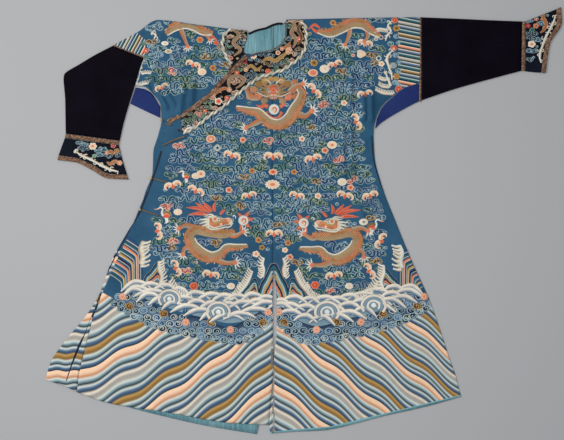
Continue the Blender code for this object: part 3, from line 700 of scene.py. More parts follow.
class Nodes:
    """A material's node tree, with short calls for the nodes that the finishes use."""

    def __init__(self, name: str) -> None:
        """Start a material with one Principled shader."""
        self.material = bpy.data.materials.new(name)
        self.material.use_nodes = True
        self.tree = self.material.node_tree
        self.shader = self.tree.nodes["Principled BSDF"]
        self.place = self.tree.nodes.new("ShaderNodeTexCoord").outputs["Object"]

    def link(self, value: object, socket: Socket) -> None:
        """Join an output to a socket, or set the socket to a plain value."""
        if isinstance(value, Socket):
            self.tree.links.new(value, socket)
        else:
            socket.default_value = value

    def math(self, operation: str, a: object, b: object = 0.0) -> Socket:
        """One arithmetic step."""
        node = self.tree.nodes.new("ShaderNodeMath")
        node.operation = operation
        self.link(a, node.inputs[0])
        self.link(b, node.inputs[1])
        return node.outputs[0]

    def stretched(self, scale: tuple, turn: float = 0.0) -> Socket:
        """Object coordinates scaled to a thread's length and width, turned about Z by the given degrees."""
        node = self.tree.nodes.new("ShaderNodeMapping")
        node.vector_type = "TEXTURE"
        node.inputs["Rotation"].default_value = (0, 0, math.radians(turn))
        node.inputs["Scale"].default_value = scale
        self.link(self.place, node.inputs["Vector"])
        return node.outputs[0]

    def noise(self, size: float | tuple, turn: float = 0.0, detail: float = 2.0) -> Socket:
        """Even noise whose patches are `size` metres across, or (along, across) metres."""
        along, across = size if isinstance(size, tuple) else (size, size)
        node = self.tree.nodes.new("ShaderNodeTexNoise")
        node.inputs["Scale"].default_value = 1.0
        node.inputs["Detail"].default_value = detail
        self.link(self.stretched((along, across, min(along, across)), turn), node.inputs["Vector"])
        return node.outputs["Fac"]

    def painted(self, name: str) -> Socket:
        """The colour stored at the points of the mesh."""
        node = self.tree.nodes.new("ShaderNodeVertexColor")
        node.layer_name = name
        return node.outputs["Color"]

    def split(self, colour: Socket) -> list:
        """The three channels of a colour."""
        node = self.tree.nodes.new("ShaderNodeSeparateColor")
        self.link(colour, node.inputs[0])
        return list(node.outputs)

    def ramp(self, factor: object, stops: Sequence[tuple]) -> Socket:
        """A colour scale from (place, colour) stops."""
        node = self.tree.nodes.new("ShaderNodeValToRGB")
        elements = node.color_ramp.elements
        for index, (where, colour) in enumerate(stops):
            element = elements[index] if index < 2 else elements.new(where)
            element.position = where
            element.color = (*colour, 1.0)
        self.link(factor, node.inputs[0])
        return node.outputs["Color"]

    def blend(self, factor: object, a: object, b: object, how: str = "MIX") -> Socket:
        """Mix two colours."""
        node = self.tree.nodes.new("ShaderNodeMix")
        node.data_type = "RGBA"
        node.blend_type = how
        self.link(factor, node.inputs["Factor"])
        for value, socket in ((a, node.inputs[6]), (b, node.inputs[7])):
            self.link((*value, 1.0) if isinstance(value, tuple) else value, socket)
        return node.outputs[2]

    def relief(self, height: object, deep: float, over: object = None) -> Socket:
        """A bump of the given depth in metres, laid over another one if given."""
        node = self.tree.nodes.new("ShaderNodeBump")
        node.inputs["Strength"].default_value = 1.0
        node.inputs["Distance"].default_value = deep
        self.link(height, node.inputs["Height"])
        if over is not None:
            self.link(over, node.inputs["Normal"])
        return node.outputs[0]

    def finish(self, colour: object, normal: object, roughness: float, sheen: float = 0.0,
               metallic: float = 0.0, specular: float = 0.12) -> Material:
        """Set the shader and return the material."""
        self.link((*colour, 1.0) if isinstance(colour, tuple) else colour, self.shader.inputs["Base Color"])
        if normal:
            self.link(normal, self.shader.inputs["Normal"])
        values = {"Roughness": roughness, "Sheen Weight": sheen, "Metallic": metallic,
                  "Specular IOR Level": specular}
        for socket, value in values.items():
            self.shader.inputs[socket].default_value = value
        if sheen:
            self.shader.inputs["Sheen Roughness"].default_value = 0.45
        return self.material


@dataclass(frozen=True)
class PlainSilk:
    """Plain woven silk, with faint ribs, slightly uneven dye, and where asked long streaks of painted light
    and shade that stand for fine crinkles.
    """

    name: str
    dark: tuple
    light: tuple
    rib: tuple = (0.02, 0.0009)
    turn: float = 0.0
    deep: float = 0.0002
    streak_shading: float = 0.0
    roughness: float = 0.6
    specular: float = 0.12

    def build(self) -> Material:
        """Make the material."""
        n = Nodes(self.name)
        cloudy = n.noise(0.09, detail=3)
        tone = n.math("MULTIPLY", n.noise(self.rib, self.turn), 0.35)
        shade = n.math("ADD", n.math("MULTIPLY", cloudy, 0.65), tone)
        # Painted light and shade: long streaks that stand for fine crinkles in the cloth.
        if self.streak_shading:
            streaks = n.noise((0.09, 0.004), self.turn, 3)
            shade = n.math("ADD", shade, n.math("MULTIPLY", n.math("SUBTRACT", streaks, 0.5), self.streak_shading))
        colour = n.ramp(shade, ((0.3, self.dark), (0.72, self.light)))
        bump = n.relief(n.noise(self.rib, self.turn), self.deep)
        bump = n.relief(n.noise((0.0011, 0.0007), self.turn + 40), self.deep * 0.8, bump)
        return n.finish(colour, bump, self.roughness, specular=self.specular)


SLEEVE_STRIPES = (
    (Silk.LINEN, Silk.CORAL), (Silk.LINEN, Silk.STEEL), (Silk.FROST, Silk.TEAL),
    (Silk.LINEN, Silk.ASH), (Silk.LINEN, Silk.STEEL), (Silk.FROST, Silk.TEAL),
    (Silk.LINEN, Silk.OCHRE), (Silk.LINEN, Silk.STEEL), (Silk.FROST, Silk.TEAL),
)


@dataclass(frozen=True)
class RobeSilk:
    """Blue silk satin that carries the embroidery, with the stitched stripes of its hem and sleeve ends."""

    name: str = "robe_silk"
    shades: tuple = (
        (0.00, Silk.BLUSH, Silk.PEACH, Silk.COPPER),
        (0.13, Silk.FROST, Silk.MIST, Silk.INK),
        (0.235, Silk.FROST, Silk.STEEL, Silk.SLATE),
        (0.345, Silk.LINEN, Silk.ASH, Silk.ASH),
        (0.475, Silk.FROST, Silk.MIST, Silk.INK),
        (0.585, Silk.FROST, Silk.STEEL, Silk.SLATE),
        (0.70, Silk.GOLD, Silk.OCHRE, Silk.UMBER),
        (0.80, Silk.FROST, Silk.MIST, Silk.INK),
        (0.90, Silk.FROST, Silk.STEEL, Silk.SLATE),
    )
    sleeve_shades: tuple = tuple((index / STRIPES, pale, core, core)
                                 for index, (pale, core) in enumerate(SLEEVE_STRIPES))
    sleeve_gaps: tuple = ((0.0, (0.06, 0.13, 0.14)), (0.08, (1.0, 1.0, 1.0)), (0.58, (1.0, 1.0, 1.0)),
                          (0.7, (0.06, 0.13, 0.14)))

    @staticmethod
    def stops(shades: Sequence, parts: Sequence[float]) -> list:
        """Ramp stops of a repeat of stripes, each with its three threads at the given parts of it."""
        ends = (*(shade[0] for shade in shades[1:]), 1.0)
        return [(shade[0] + (end - shade[0]) * part, silk.value) for shade, end in zip(shades, ends)
                for part, silk in zip(parts, shade[1:])]

    def build(self) -> Material:
        """Make the material."""
        n = Nodes(self.name)
        phase, striped, edge = n.split(n.painted("weave"))
        striped, edge = n.math("GREATER_THAN", striped, 0.5), n.math("GREATER_THAN", edge, 0.5)
        turn = n.math("FRACT", phase)
        hem = n.ramp(turn, self.stops(self.shades, (0.16, 0.46, 0.84)))
        sleeve = n.ramp(turn, self.stops(self.sleeve_shades, (0.14, 0.34, 0.62)))
        gaps = n.ramp(n.math("FRACT", n.math("MULTIPLY", phase, STRIPES)), self.sleeve_gaps)
        sleeve = n.blend(1.0, sleeve, gaps, "MULTIPLY")
        stripes = n.blend(n.math("GREATER_THAN", phase, SLEEVE_PHASE / 2), hem, sleeve)
        floss = n.noise((0.018, 0.0011), -40, 3)
        stripes = n.blend(0.4, stripes, n.ramp(floss, ((0.3, (0.7, 0.7, 0.7)), (0.7, (1.1, 1.1, 1.1)))),
                          "MULTIPLY")
        mottle = n.math("ADD", n.math("MULTIPLY", n.noise(0.11, detail=4), 0.7),
                        n.math("MULTIPLY", n.noise((0.012, 0.0015), 8, 3), 0.4))
        ground = n.ramp(mottle, ((0.35, (0.009, 0.056, 0.113)), (0.75, (0.031, 0.109, 0.198))))
        colour = n.blend(striped, ground, stripes)
        colour = n.blend(edge, colour, (0.20, 0.42, 0.47))
        padded = n.math("MULTIPLY", n.math("ABSOLUTE", n.math("SINE",
            n.math("MULTIPLY", phase, STRIPES * math.pi))), striped)
        bump = n.relief(padded, 0.0011)
        bump = n.relief(n.noise((0.0016, 0.0006), 52, 1), 0.00022, bump)
        bump = n.relief(n.noise(0.013, detail=3), 0.0011, bump)
        return n.finish(colour, bump, 0.56, SILK_SHEEN)


@dataclass(frozen=True)
class Floss:
    """Embroidery thread, coloured stitch by stitch from the colours stored on the work."""

    name: str
    stitch: tuple = (0.006, 0.0007)
    turn: float = 55.0
    roughness: float = 0.5
    wear: float = 0.22

    def build(self) -> Material:
        """Make the material."""
        n = Nodes(self.name)
        stitches = n.noise(self.stitch, self.turn, 2)
        tone = n.ramp(stitches, ((0.3, (1 - self.wear,) * 3), (0.7, (1.0, 1.0, 1.0))))
        colour = n.blend(1.0, n.painted("silk"), tone, "MULTIPLY")
        fading = n.ramp(n.noise(0.05, detail=3), ((0.35, (0.86, 0.86, 0.86)), (0.7, (1.06, 1.05, 1.02))))
        colour = n.blend(1.0, colour, fading, "MULTIPLY")
        return n.finish(colour, n.relief(stitches, 0.00035), self.roughness, SILK_SHEEN)


@dataclass(frozen=True)
class Brocade:
    """Brown and gold figured ribbon."""

    name: str = "brocade"

    def build(self) -> Material:
        """Make the material."""
        n = Nodes(self.name)
        figure = n.noise((0.009, 0.005), 30, 3)
        thread = n.noise((0.004, 0.0008), -20, 1)
        colour = n.ramp(figure, ((0.38, (0.080, 0.040, 0.026)), (0.47, (0.155, 0.080, 0.050)),
                                 (0.56, (0.235, 0.135, 0.082)), (0.66, (0.32, 0.22, 0.135))))
        bump = n.relief(figure, 0.0005)
        return n.finish(colour, n.relief(thread, 0.0003, bump), 0.6)


@dataclass(frozen=True)
class Gilt:
    """Worn gilt brass."""

    name: str = "gilt_brass"

    def build(self) -> Material:
        """Make the material."""
        n = Nodes(self.name)
        colour = n.ramp(n.noise(0.004, detail=3), ((0.35, (0.34, 0.20, 0.08)), (0.65, (0.80, 0.56, 0.24))))
        return n.finish(colour, n.relief(n.noise(0.002), 0.0002), 0.34, 0.0, 1.0)


@dataclass(frozen=True)
class Ground:
    """Plain pale studio surface."""

    name: str = "studio_floor"
    tone: tuple = (0.43, 0.43, 0.44)

    def build(self) -> Material:
        """Make the material."""
        n = Nodes(self.name)
        return n.finish(self.tone, None, 0.9, specular=0.1)


# ---------------------------------------------------------------- pieces of cloth


def carry(piece: Object, slot: str, material: Material,
          nodes: Sequence[str] = ()) -> None:
    """Dress a piece, and hide the solids that it stands for.

    Args:
        piece: the finished object.
        slot: the name of a material slot; not used.
        material: its finish.
        nodes: the solids that it replaces.
    """
    piece.data.materials.clear()
    piece.data.materials.append(material)
    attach(piece, "root")
    if nodes:
        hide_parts(*nodes)
    LOG.info("made %s", piece.name)


def cloth_object(node: str, points: Points, faces: Points, wall: float, slot: str,
                 material: Material, kind: str = "cloth") -> Object:
    """A dressed piece of cloth that stands for a node, with its wall half on either side of the points.

    Args:
        node: the solid that the piece replaces.
        points: the middle of the wall, as (across, drop, height) in millimetres.
        faces: its quads.
        wall: the thickness of the cloth in millimetres.
        slot: the name of its material slot.
        material: its finish.
        kind: the last word of the object's name.

    Returns:
        The finished object.
    """
    piece = mesh_object(f"{node}_{kind}", placed(points), faces)
    solid = piece.modifiers.new("wall", "SOLIDIFY")
    solid.thickness = wall * MM
    solid.offset = 0.0
    carry(piece, slot, material, (node,))
    return piece


@dataclass
class Panel:
    """A cut piece of cloth that lies at a given height, with the chosen edges folded down to the surface."""

    node: str
    rows: Sequence[Row]
    height: Height
    slot: str
    wall: float = SILK_WALL
    pitch: float = 8.0
    first: Edge = Edge()
    second: Edge = Edge()
    top: tuple = (0.0,)
    folded_top: bool = False
    weave: Callable | None = None
    rests_on: tuple = ("front_under_cloth",)
    middle: Points | None = None

    def shape(self) -> Points:
        """Points of the middle of the wall: across, drop and height in millimetres."""
        flat = sheet_points(self.rows, self.pitch, self.first, self.second, self.top)
        level = self.height(flat[..., 0], flat[..., 1])
        if self.folded_top:
            level = turned(level, np.linalg.norm(flat - flat[:1], axis=2))
        for edge, column in ((self.first, 0), (self.second, -1)):
            share = smooth_step(flat[..., 1] - edge.folds_from, 0.0, FOLD_STARTS_OVER)
            level = turned(level, np.linalg.norm(flat - flat[:, column][:, None], axis=2), share)
        return np.dstack([flat, level])

    def build(self, material: Material) -> None:
        """Make the cloth, and work out the flat area of its cut."""
        self.middle = self.shape()
        lines, count = self.middle.shape[:2]
        faces = grid_faces(lines, count)
        piece = cloth_object(self.node, self.middle, faces, self.wall, self.slot, material)
        if self.weave:
            paint(piece, "weave", self.weave(self.middle.reshape(-1, 3)))
        flat = self.middle[..., :2].reshape(-1, 2) * MM
        corners = flat[faces]
        x, y = corners[..., 0], corners[..., 1]
        area = float(np.abs((x * np.roll(y, -1, axis=1) - y * np.roll(x, -1, axis=1)).sum(axis=1)).sum() / 2)
        list(self.rests_on)


@dataclass
class PressedTube:
    """A sleeve, cuff, band or binding pressed flat: a closed ring at each line, rounded at both edges."""

    node: str
    rows: Sequence[Row]
    thick: float
    slot: str
    pitch: float = 9.0
    creases: Sequence[Fold] = ()
    middle: Points | None = None

    def shape(self) -> Points:
        """Rings of points: across, drop and height in millimetres, the lower face first."""
        flat = sheet_points(self.rows, self.pitch)
        radius = (self.thick - SILK_WALL) / 2
        low = SILK_WALL / 2
        count = flat.shape[1]
        turn = np.radians(np.linspace(-75, 75, 7))
        rings = []
        for line in flat:
            along = lengths_along(line)
            inset = self.thick / 2
            under = curve_at(along, line, np.linspace(inset, along[-1] - inset, count))
            over = under[::-1]
            ends = []
            for edge, inward in ((under[-1], under[-2]), (under[0], under[1])):
                out = (edge - inward) / np.linalg.norm(edge - inward)
                ends.append([(*(edge + out * radius * math.cos(a)), low + radius * (1 + math.sin(a)))
                             for a in turn])
            top = np.column_stack([over, low + 2 * radius + lifted(self.creases, *over.T)])
            bottom = np.column_stack([under, np.full(count, low)])
            rings.append(np.vstack([bottom, ends[0], top, ends[1][::-1]]))
        return np.array(rings)

    def build(self, material: Material) -> None:
        """Make the tube, and measure its rounds and its length."""
        self.middle = self.shape()
        lines, count = self.middle.shape[:2]
        faces = grid_faces(lines, count, closed=True)
        piece = cloth_object(self.node, self.middle, faces, SILK_WALL, self.slot, material)
        rounds = [lengths_along(np.vstack([ring, ring[:1]]))[-1] for ring in self.middle]
        half = self.middle[:, count // 4, :2]
        length = lengths_along(half)[-1] * MM
        length = max(length, LEAST_CUT)


@dataclass
class FoldedGusset:
    """An underarm gusset folded in half: one half lies level with the front, the other on the surface."""

    node: str
    rows: Sequence[Row]

    def build(self, material: Material) -> None:
        """Make the gusset, and measure its rounds and its length."""
        flat = sheet_points(self.rows, 6.0)
        radius = (FRONT_MID - BACK_MID) / 2
        lines = []
        for line in flat:
            seam, crease = line[0], line[-1]
            out = (crease - seam) / np.linalg.norm(crease - seam)
            start = crease - out * (radius + SILK_WALL / 2)
            face = np.array([seam + (start - seam) * share for share in np.linspace(0, 1, 9)])
            turn = np.radians(np.linspace(70, -70, 7))
            bend = [(*(start + out * radius * math.cos(a)), BACK_MID + radius * (1 + math.sin(a)))
                    for a in turn]
            upper = np.column_stack([face, np.full(len(face), FRONT_MID)])
            lower = np.column_stack([face[::-1], np.full(len(face), BACK_MID)])
            lines.append(np.vstack([upper, bend, lower]))
        points = np.array(lines)
        faces = grid_faces(*points.shape[:2])
        piece = cloth_object(self.node, points, faces, SILK_WALL, "gusset_silk", material)
        around = [lengths_along(line)[-1] for line in points]
        length = lengths_along(points[:, 8, :2])[-1] * MM


@dataclass
class Ribbon:
    """A narrow band laid along a line, or beside it by the given shift."""

    node: str
    line: Sequence
    wide: float
    height: Height
    slot: str
    shift: float = 0.0

    def build(self, material: Material) -> None:
        """Make the band, and measure its length."""
        path = np.array(self.line, float)
        knots = lengths_along(path)
        centre = curve_at(knots, path, np.linspace(0, knots[-1], max(8, round(knots[-1] / 4))))
        side = headings(centre)[1]
        shares = np.linspace(-1, 1, 5)
        flat = np.stack([centre + side * (self.shift + share * self.wide / 2) for share in shares], axis=1)
        middle = np.dstack([flat, self.height(flat[..., 0], flat[..., 1])])
        faces = grid_faces(*middle.shape[:2])
        piece = cloth_object(self.node, middle, faces, TRIM_WALL, self.slot, material, "ribbon")
        length = lengths_along(centre)[-1] * MM


# ---------------------------------------------------------------- needlework


class Strand(NamedTuple):
    """One line of a band's cross-section: its place from -1 to 1, its height in millimetres, its thread."""

    side: float
    lift: float
    silk: Silk


def threads(names: str) -> tuple:
    """The threads of the given names."""
    return tuple(Silk[name] for name in names.split())


def banded(silks: str | Sequence[Silk], high: float = 0.35) -> tuple:
    """A crowned cross-section with the threads, or those of the given names, spread evenly over it."""
    silks = threads(silks) if isinstance(silks, str) else silks
    sides = np.linspace(-1, 1, len(silks))
    return tuple(Strand(float(s), high * (1 - float(s) ** 2) + 0.08, silk) for s, silk in zip(sides, silks))


def edged(edge: Silk, core: Silk, high: float = 0.35, rim: float = 0.45) -> tuple:
    """A cross-section with an outline of one thread round a core of another."""
    return (
        Strand(-1, 0.1, edge), Strand(-1 + rim, high, edge), Strand(-1 + rim * 1.5, high * 0.8, core),
        Strand(0, high, core),
        Strand(1 - rim * 1.5, high * 0.8, core), Strand(1 - rim, high, edge), Strand(1, 0.1, edge),
    )


def strands(names: str, *places: tuple) -> tuple:
    """Strands of the named threads, or the rings of a round motif, from their (place, height) pairs."""
    return tuple(Strand(*place, silk) for place, silk in zip(places, threads(names)))


def flipped(section: Sequence[Strand]) -> tuple:
    """A cross-section the other way round."""
    return tuple(Strand(-strand.side, strand.lift, strand.silk) for strand in reversed(section))


@dataclass
class Needlework:
    """Embroidery worked on one or more pieces of cloth, gathered into a single mesh.

    Every place is in steps of the motif chart and every lift in millimetres above the cloth.
    """

    name: str
    grounds: Sequence
    kept_clear: Sequence = ()
    base: float = SILK_WALL / 2
    reach: float = 1.2
    points: list = field(default_factory=list)
    lifts: list = field(default_factory=list)
    silks: list = field(default_factory=list)
    faces: list = field(default_factory=list)
    count: int = 0

    def add(self, points: Points, lift: Points, silk: Points, faces: Points) -> None:
        """Add worked points with their faces."""
        self.points.append(points.reshape(-1, 2))
        self.lifts.append(lift.ravel())
        self.silks.append(silk.reshape(-1, 3))
        self.faces.append(faces + self.count)
        self.count += len(self.points[-1])

    def band(self, path: Sequence, half: float | Sequence, section: Sequence[Strand], lift: float = 0.0,
             step: float = 0.85) -> None:
        """Work a band along a curve.

        Args:
            path: places that the curve runs through.
            half: half its width, or a list of them from its start to its end.
            section: its cross-section.
            lift: extra height.
            step: distance between points along it.
        """
        line = flowing(path, step)
        share = np.linspace(0, 1, len(line))
        given = np.atleast_1d(half)
        halves = np.interp(share, np.linspace(0, 1, len(given)), given)
        side = headings(line)[1] * halves[:, None]
        points = np.stack([line + side * strand.side for strand in section], axis=1)
        lifts = np.array([strand.lift for strand in section])
        full = halves / max(halves.max(), 1e-6)
        silk = np.broadcast_to(np.array([strand.silk.value for strand in section]), (*points.shape[:2], 3))
        self.add(points, lift + lifts[None] * (0.4 + 0.6 * full[:, None]), silk,
                 grid_faces(*points.shape[:2]))

    def rounds(self, middle: Points, outline: Points, rings: Sequence[tuple], lift: float) -> None:
        """Fill an outline from rings of (share of the outline, lift, silk) round its middle."""
        shares = np.array([ring[0] for ring in rings])
        points = middle + (outline - middle)[:, None] * shares[None, :, None]
        lifts = np.broadcast_to([ring[1] for ring in rings], points.shape[:2])
        silk = np.broadcast_to(np.array([ring[2].value for ring in rings]), (*points.shape[:2], 3))
        index = np.arange(points.shape[0] * points.shape[1]).reshape(points.shape[:2])
        after = np.roll(index, -1, axis=0)
        faces = np.stack([index[:, :-1], after[:, :-1], after[:, 1:], index[:, 1:]], axis=-1).reshape(-1, 4)
        self.add(points, lifts + lift, silk, faces)

    def patch(self, outline: Sequence, edge: Silk, core: Silk, high: float, lift: float, rim: float) -> None:
        """Fill an outline with one thread, with a rim of another."""
        line = flowing([*outline, outline[0]], 0.9)[:-1]
        rings = ((1.0, 0.1, edge), (1 - rim * 0.6, high, edge), (1 - rim, high, core),
                 (0.45, high * 1.1, core), (0.02, high * 1.15, core))
        self.rounds(line.mean(axis=0), line, rings, lift)

    def disc(self, centre: Sequence, radius: float, rings: Sequence[tuple], lift: float = 0.0,
             petals: int = 0, deep: float = 0.0, squash: float = 1.0) -> None:
        """Work a round motif from rings of (share of the radius, lift, silk), with petals if wanted."""
        angles = np.linspace(0, 2 * math.pi, max(12, petals * 6), endpoint=False)
        edge = (1 - deep) + deep * np.abs(np.cos(angles * petals / 2)) ** 0.7 if petals else 1.0
        outline = np.stack([np.cos(angles) * edge, np.sin(angles) * edge * squash], axis=1) * radius
        rings = [(max(share, 0.01), high, silk) for share, high, silk in rings]
        self.rounds(np.array(centre, float), np.array(centre, float) + outline, rings, lift)

    def whirl(self, centre: tuple, radius: float, turns: float, half: float, section: Sequence[Strand],
              start: float = 0.0, way: int = 1, lift: float = 0.0, squash: float = 1.0,
              step: float = 0.7) -> None:
        """Work a spiral from its middle outwards."""
        t = np.linspace(0.12, 1, max(6, round(turns * 9)))
        angle = start + way * turns * 2 * math.pi * t
        path = np.stack([np.cos(angle) * radius * t, np.sin(angle) * radius * t * squash],
                        axis=1) + np.array(centre)
        self.band(path, (half * 0.6, half, half * 0.8), section, lift, step)

    def height_below(self, spot: Points, trees: Sequence[BVHTree]) -> float | None:
        """Height of the highest ground under a place in metres, or of ground just beside it."""
        hits = [tree.ray_cast(Vector((spot[0], spot[1], LOOK_FROM)), Vector((0, 0, -1)))[0] for tree in trees]
        best = max((hit.z for hit in hits if hit is not None), default=None)
        if best is None:
            for tree in trees:
                hit = tree.find_nearest(Vector((spot[0], spot[1], FRONT_MID * MM)), LOOK_ROUND)[0]
                if hit is not None and math.hypot(hit.x - spot[0], hit.y - spot[1]) < self.reach * MM:
                    best = hit.z
        return best

    def build(self, slot: str, material: Material) -> None:
        """Lay the work on its grounds, leaving out whatever runs off them."""
        flat = np.vstack(self.points)
        lift = np.concatenate(self.lifts)
        silk = np.vstack(self.silks)
        faces = np.vstack(self.faces)
        kept = np.ones(len(flat), bool)
        for outline in self.kept_clear:
            kept &= ~inside(flat, outline)
        world = placed(np.column_stack([on_chart(flat), np.zeros(len(flat))]))
        trees = []
        for ground in self.grounds:
            points = placed(ground.middle).reshape(-1, 3).tolist()
            trees.append(BVHTree.FromPolygons(points, grid_faces(*ground.middle.shape[:2]).tolist()))
        for i in np.flatnonzero(kept):
            height = self.height_below(world[i], trees)
            kept[i] = height is not None
            world[i, 2] = (height or 0.0) + (self.base + lift[i]) * MM
        whole = faces[kept[faces].all(axis=1)]
        used = np.unique(whole)
        order = np.full(len(flat), -1)
        order[used] = np.arange(len(used))
        piece = mesh_object(self.name, world[used], order[whole])
        paint(piece, "silk", silk[used])
        carry(piece, slot, material)


# ---------------------------------------------------------------- motifs


@dataclass
class Keepout:
    """Places on the chart that the scattered clouds stay clear of."""

    spots: list = field(default_factory=list)

    def add(self, x: float, y: float, radius: float) -> None:
        """Keep a round place clear."""
        self.spots.append((x, y, radius))

    def along(self, path: Sequence, radius: float) -> None:
        """Keep a strip along a curve clear."""
        for x, y in flowing(path, 3.0)[:, :2]:
            self.add(x, y, radius)

    def free(self, points: Points) -> bool:
        """Tell whether none of the points lies in a kept place."""
        if not self.spots:
            return True
        spots = np.array(self.spots)
        gap = np.hypot(points[:, None, 0] - spots[None, :, 0], points[:, None, 1] - spots[None, :, 1])
        return bool((gap > spots[None, :, 2]).all())


class CloudKind(Enum):
    """Dress of a cloud: outline, core and deep threads."""

    BLUE = (Silk.ICE, Silk.SKY, Silk.INK)
    PALE = (Silk.MIST, Silk.STEEL, Silk.NAVY)
    GREEN = (Silk.MOSS, Silk.GREEN, Silk.INK)
    TEAL = (Silk.ICE, Silk.TEAL, Silk.INK)
    ROYAL = (Silk.PALE_BLUE, Silk.ROYAL, Silk.NAVY)
    SAGE = (Silk.SAGE, Silk.TEAL, Silk.INK)
    GOLD = (Silk.STONE, Silk.OCHRE, Silk.INK)
    CORAL = (Silk.PEACH, Silk.CORAL, Silk.PLUM)
    SOOT = (Silk.STONE, Silk.BROWN, Silk.BLACK)
    SMOKE = (Silk.PALE_BLUE, Silk.SLATE, Silk.BLACK)
    FERN = (Silk.MOSS, Silk.GREEN, Silk.BLACK)
    EMBER = (Silk.LINEN, Silk.ORANGE, Silk.BROWN)

    @property
    def section(self) -> tuple[Strand, ...]:
        """Cross-section of the folded ribbon that draws the cloud."""
        edge, core, deep = self.value
        return (Strand(-1, 0.1, edge), Strand(-0.78, 0.38, edge), Strand(-0.64, 0.3, core),
                Strand(-0.12, 0.34, deep), Strand(0.12, 0.34, deep), Strand(0.64, 0.3, core),
                Strand(0.78, 0.38, edge), Strand(1, 0.1, edge))


@dataclass
class CloudField:
    """Lobed ruyi clouds in drifts that run across part of the robe."""

    work: Needlework
    region: Sequence
    clear: Keepout
    seed: int
    row_gap: float = 6.9
    kinds: tuple = (CloudKind.BLUE, CloudKind.PALE, CloudKind.TEAL, CloudKind.GREEN, CloudKind.SAGE,
                    CloudKind.ROYAL, CloudKind.BLUE)
    accents: tuple = (CloudKind.CORAL, CloudKind.GOLD)
    size: float = 1.06
    accent_share: float = 0.09
    accent_length: float = 6.5
    lengths: tuple = (7.5, 17)
    halves: tuple = (0.9, 1.35, 1.45, 1.35, 0.9)
    end_lobes: tuple = (2.4, 3.4)
    crest_lobes: tuple = (1.9, 2.7)

    def lobe(self, spot: Points, radius: float, kind: CloudKind, turn: float, way: int, lift: float) -> None:
        """Work one lobe: a pale rim round a core with a curl on it."""
        edge, core, deep = kind.value
        inner = radius - 0.5 * self.size
        self.work.disc(spot, radius, ((1, 0.10, edge), (0.7, 0.3, edge)), lift, squash=0.82)
        self.work.disc(spot, inner, ((1, 0.34, core), (0.4, 0.38, deep)), lift, squash=0.80)
        line = (Strand(-1, 0.38, edge), Strand(0, 0.50, Silk.FROST), Strand(1, 0.38, edge))
        angles = turn + way * np.linspace(0.0, 4.2, 6)
        reach = inner * np.linspace(0.1, 0.7, 6)
        path = np.stack([spot[0] + np.cos(angles) * reach, spot[1] + np.sin(angles) * reach * 0.8], axis=1)
        self.work.band(path, 0.27 * self.size, line, lift, 0.7)

    def meander(self, x: float, y: float, length: float, rng: np.random.Generator) -> Points:
        """A line that folds back and forth as it runs across, like a river's bends."""
        bends = max(1.0, round(length / (4.3 * self.size)) / 2)
        along = np.linspace(0, 1, round(bends * 12) + 2)
        sway, start = rng.uniform(0, 0.8), rng.uniform(0, 6.3)
        phase = along * bends * 2 * math.pi + sway * np.sin(along * bends * 2.3 + start)
        swing = rng.uniform(1.35, 1.92) * (0.8 + 0.2 * np.sin(along * math.pi))
        heading = swing * np.cos(phase + rng.choice((0.0, math.pi))) + rng.uniform(-0.24, 0.24)
        path = np.stack([np.cumsum(np.cos(heading)), np.cumsum(np.sin(heading))], axis=1)
        path -= path.mean(axis=0)
        return path * (length / np.ptp(path[:, 0])) * (1.0, 0.72) + (x, y)

    def cloud(self, x: float, y: float, length: float, kind: CloudKind, rng: np.random.Generator) -> None:
        """Work one cloud: a folded ribbon with pale edges, and a curled lobe at each end."""
        size = self.size
        path = self.meander(x, y, length, rng)
        self.work.band(path[::2], np.array(self.halves) * size, kind.section, 0.04, 0.8)
        for end, way in ((path[0], -1), (path[-1], 1)):
            self.lobe(end, rng.uniform(*self.end_lobes) * size, kind, rng.uniform(0, 6.3), way, 0.1)
        crests = 1 + np.flatnonzero(np.diff(np.sign(np.diff(path[:, 1]))))
        for crest in crests[1::2]:
            out = np.sign(path[crest, 1] - y) * rng.uniform(0.2, 0.9) * size
            radius = rng.uniform(*self.crest_lobes) * size
            self.lobe(path[crest] + (0, out), radius, kind, rng.uniform(0, 6.3), 1, 0.12)

    def scatter(self) -> None:
        """Fill the region."""
        rng = np.random.default_rng(self.seed)
        outline = np.asarray(self.region, float)
        low, high = outline.min(axis=0), outline.max(axis=0)
        y = low[1] + 1.5
        while y < high[1]:
            x = low[0] - rng.uniform(0, 10)
            while x < high[0]:
                length = rng.uniform(*self.lengths) * self.size
                here = y + rng.uniform(-1.2, 1.2)
                kind = self.kinds[rng.integers(len(self.kinds))]
                if rng.random() < self.accent_share:
                    kind = self.accents[rng.integers(len(self.accents))]
                    length = min(length, self.accent_length * self.size)
                for reach in (length, 5.0 * self.size, 2.4 * self.size):
                    probe = np.stack([np.linspace(x, x + reach, 4), np.full(4, here)], axis=1)
                    if inside(probe, outline).all() and self.clear.free(probe):
                        break
                else:
                    x += 2.0 * self.size
                    continue
                if reach > 4 * self.size:
                    self.cloud(x + reach / 2, here, reach, kind, rng)
                else:
                    self.lobe(probe.mean(axis=0), 1.9 * self.size, kind, rng.uniform(0, 6.3), 1, 0.0)
                x += reach + rng.uniform(0.4, 2.0) * self.size
            y += self.row_gap * rng.uniform(0.92, 1.08) * self.size


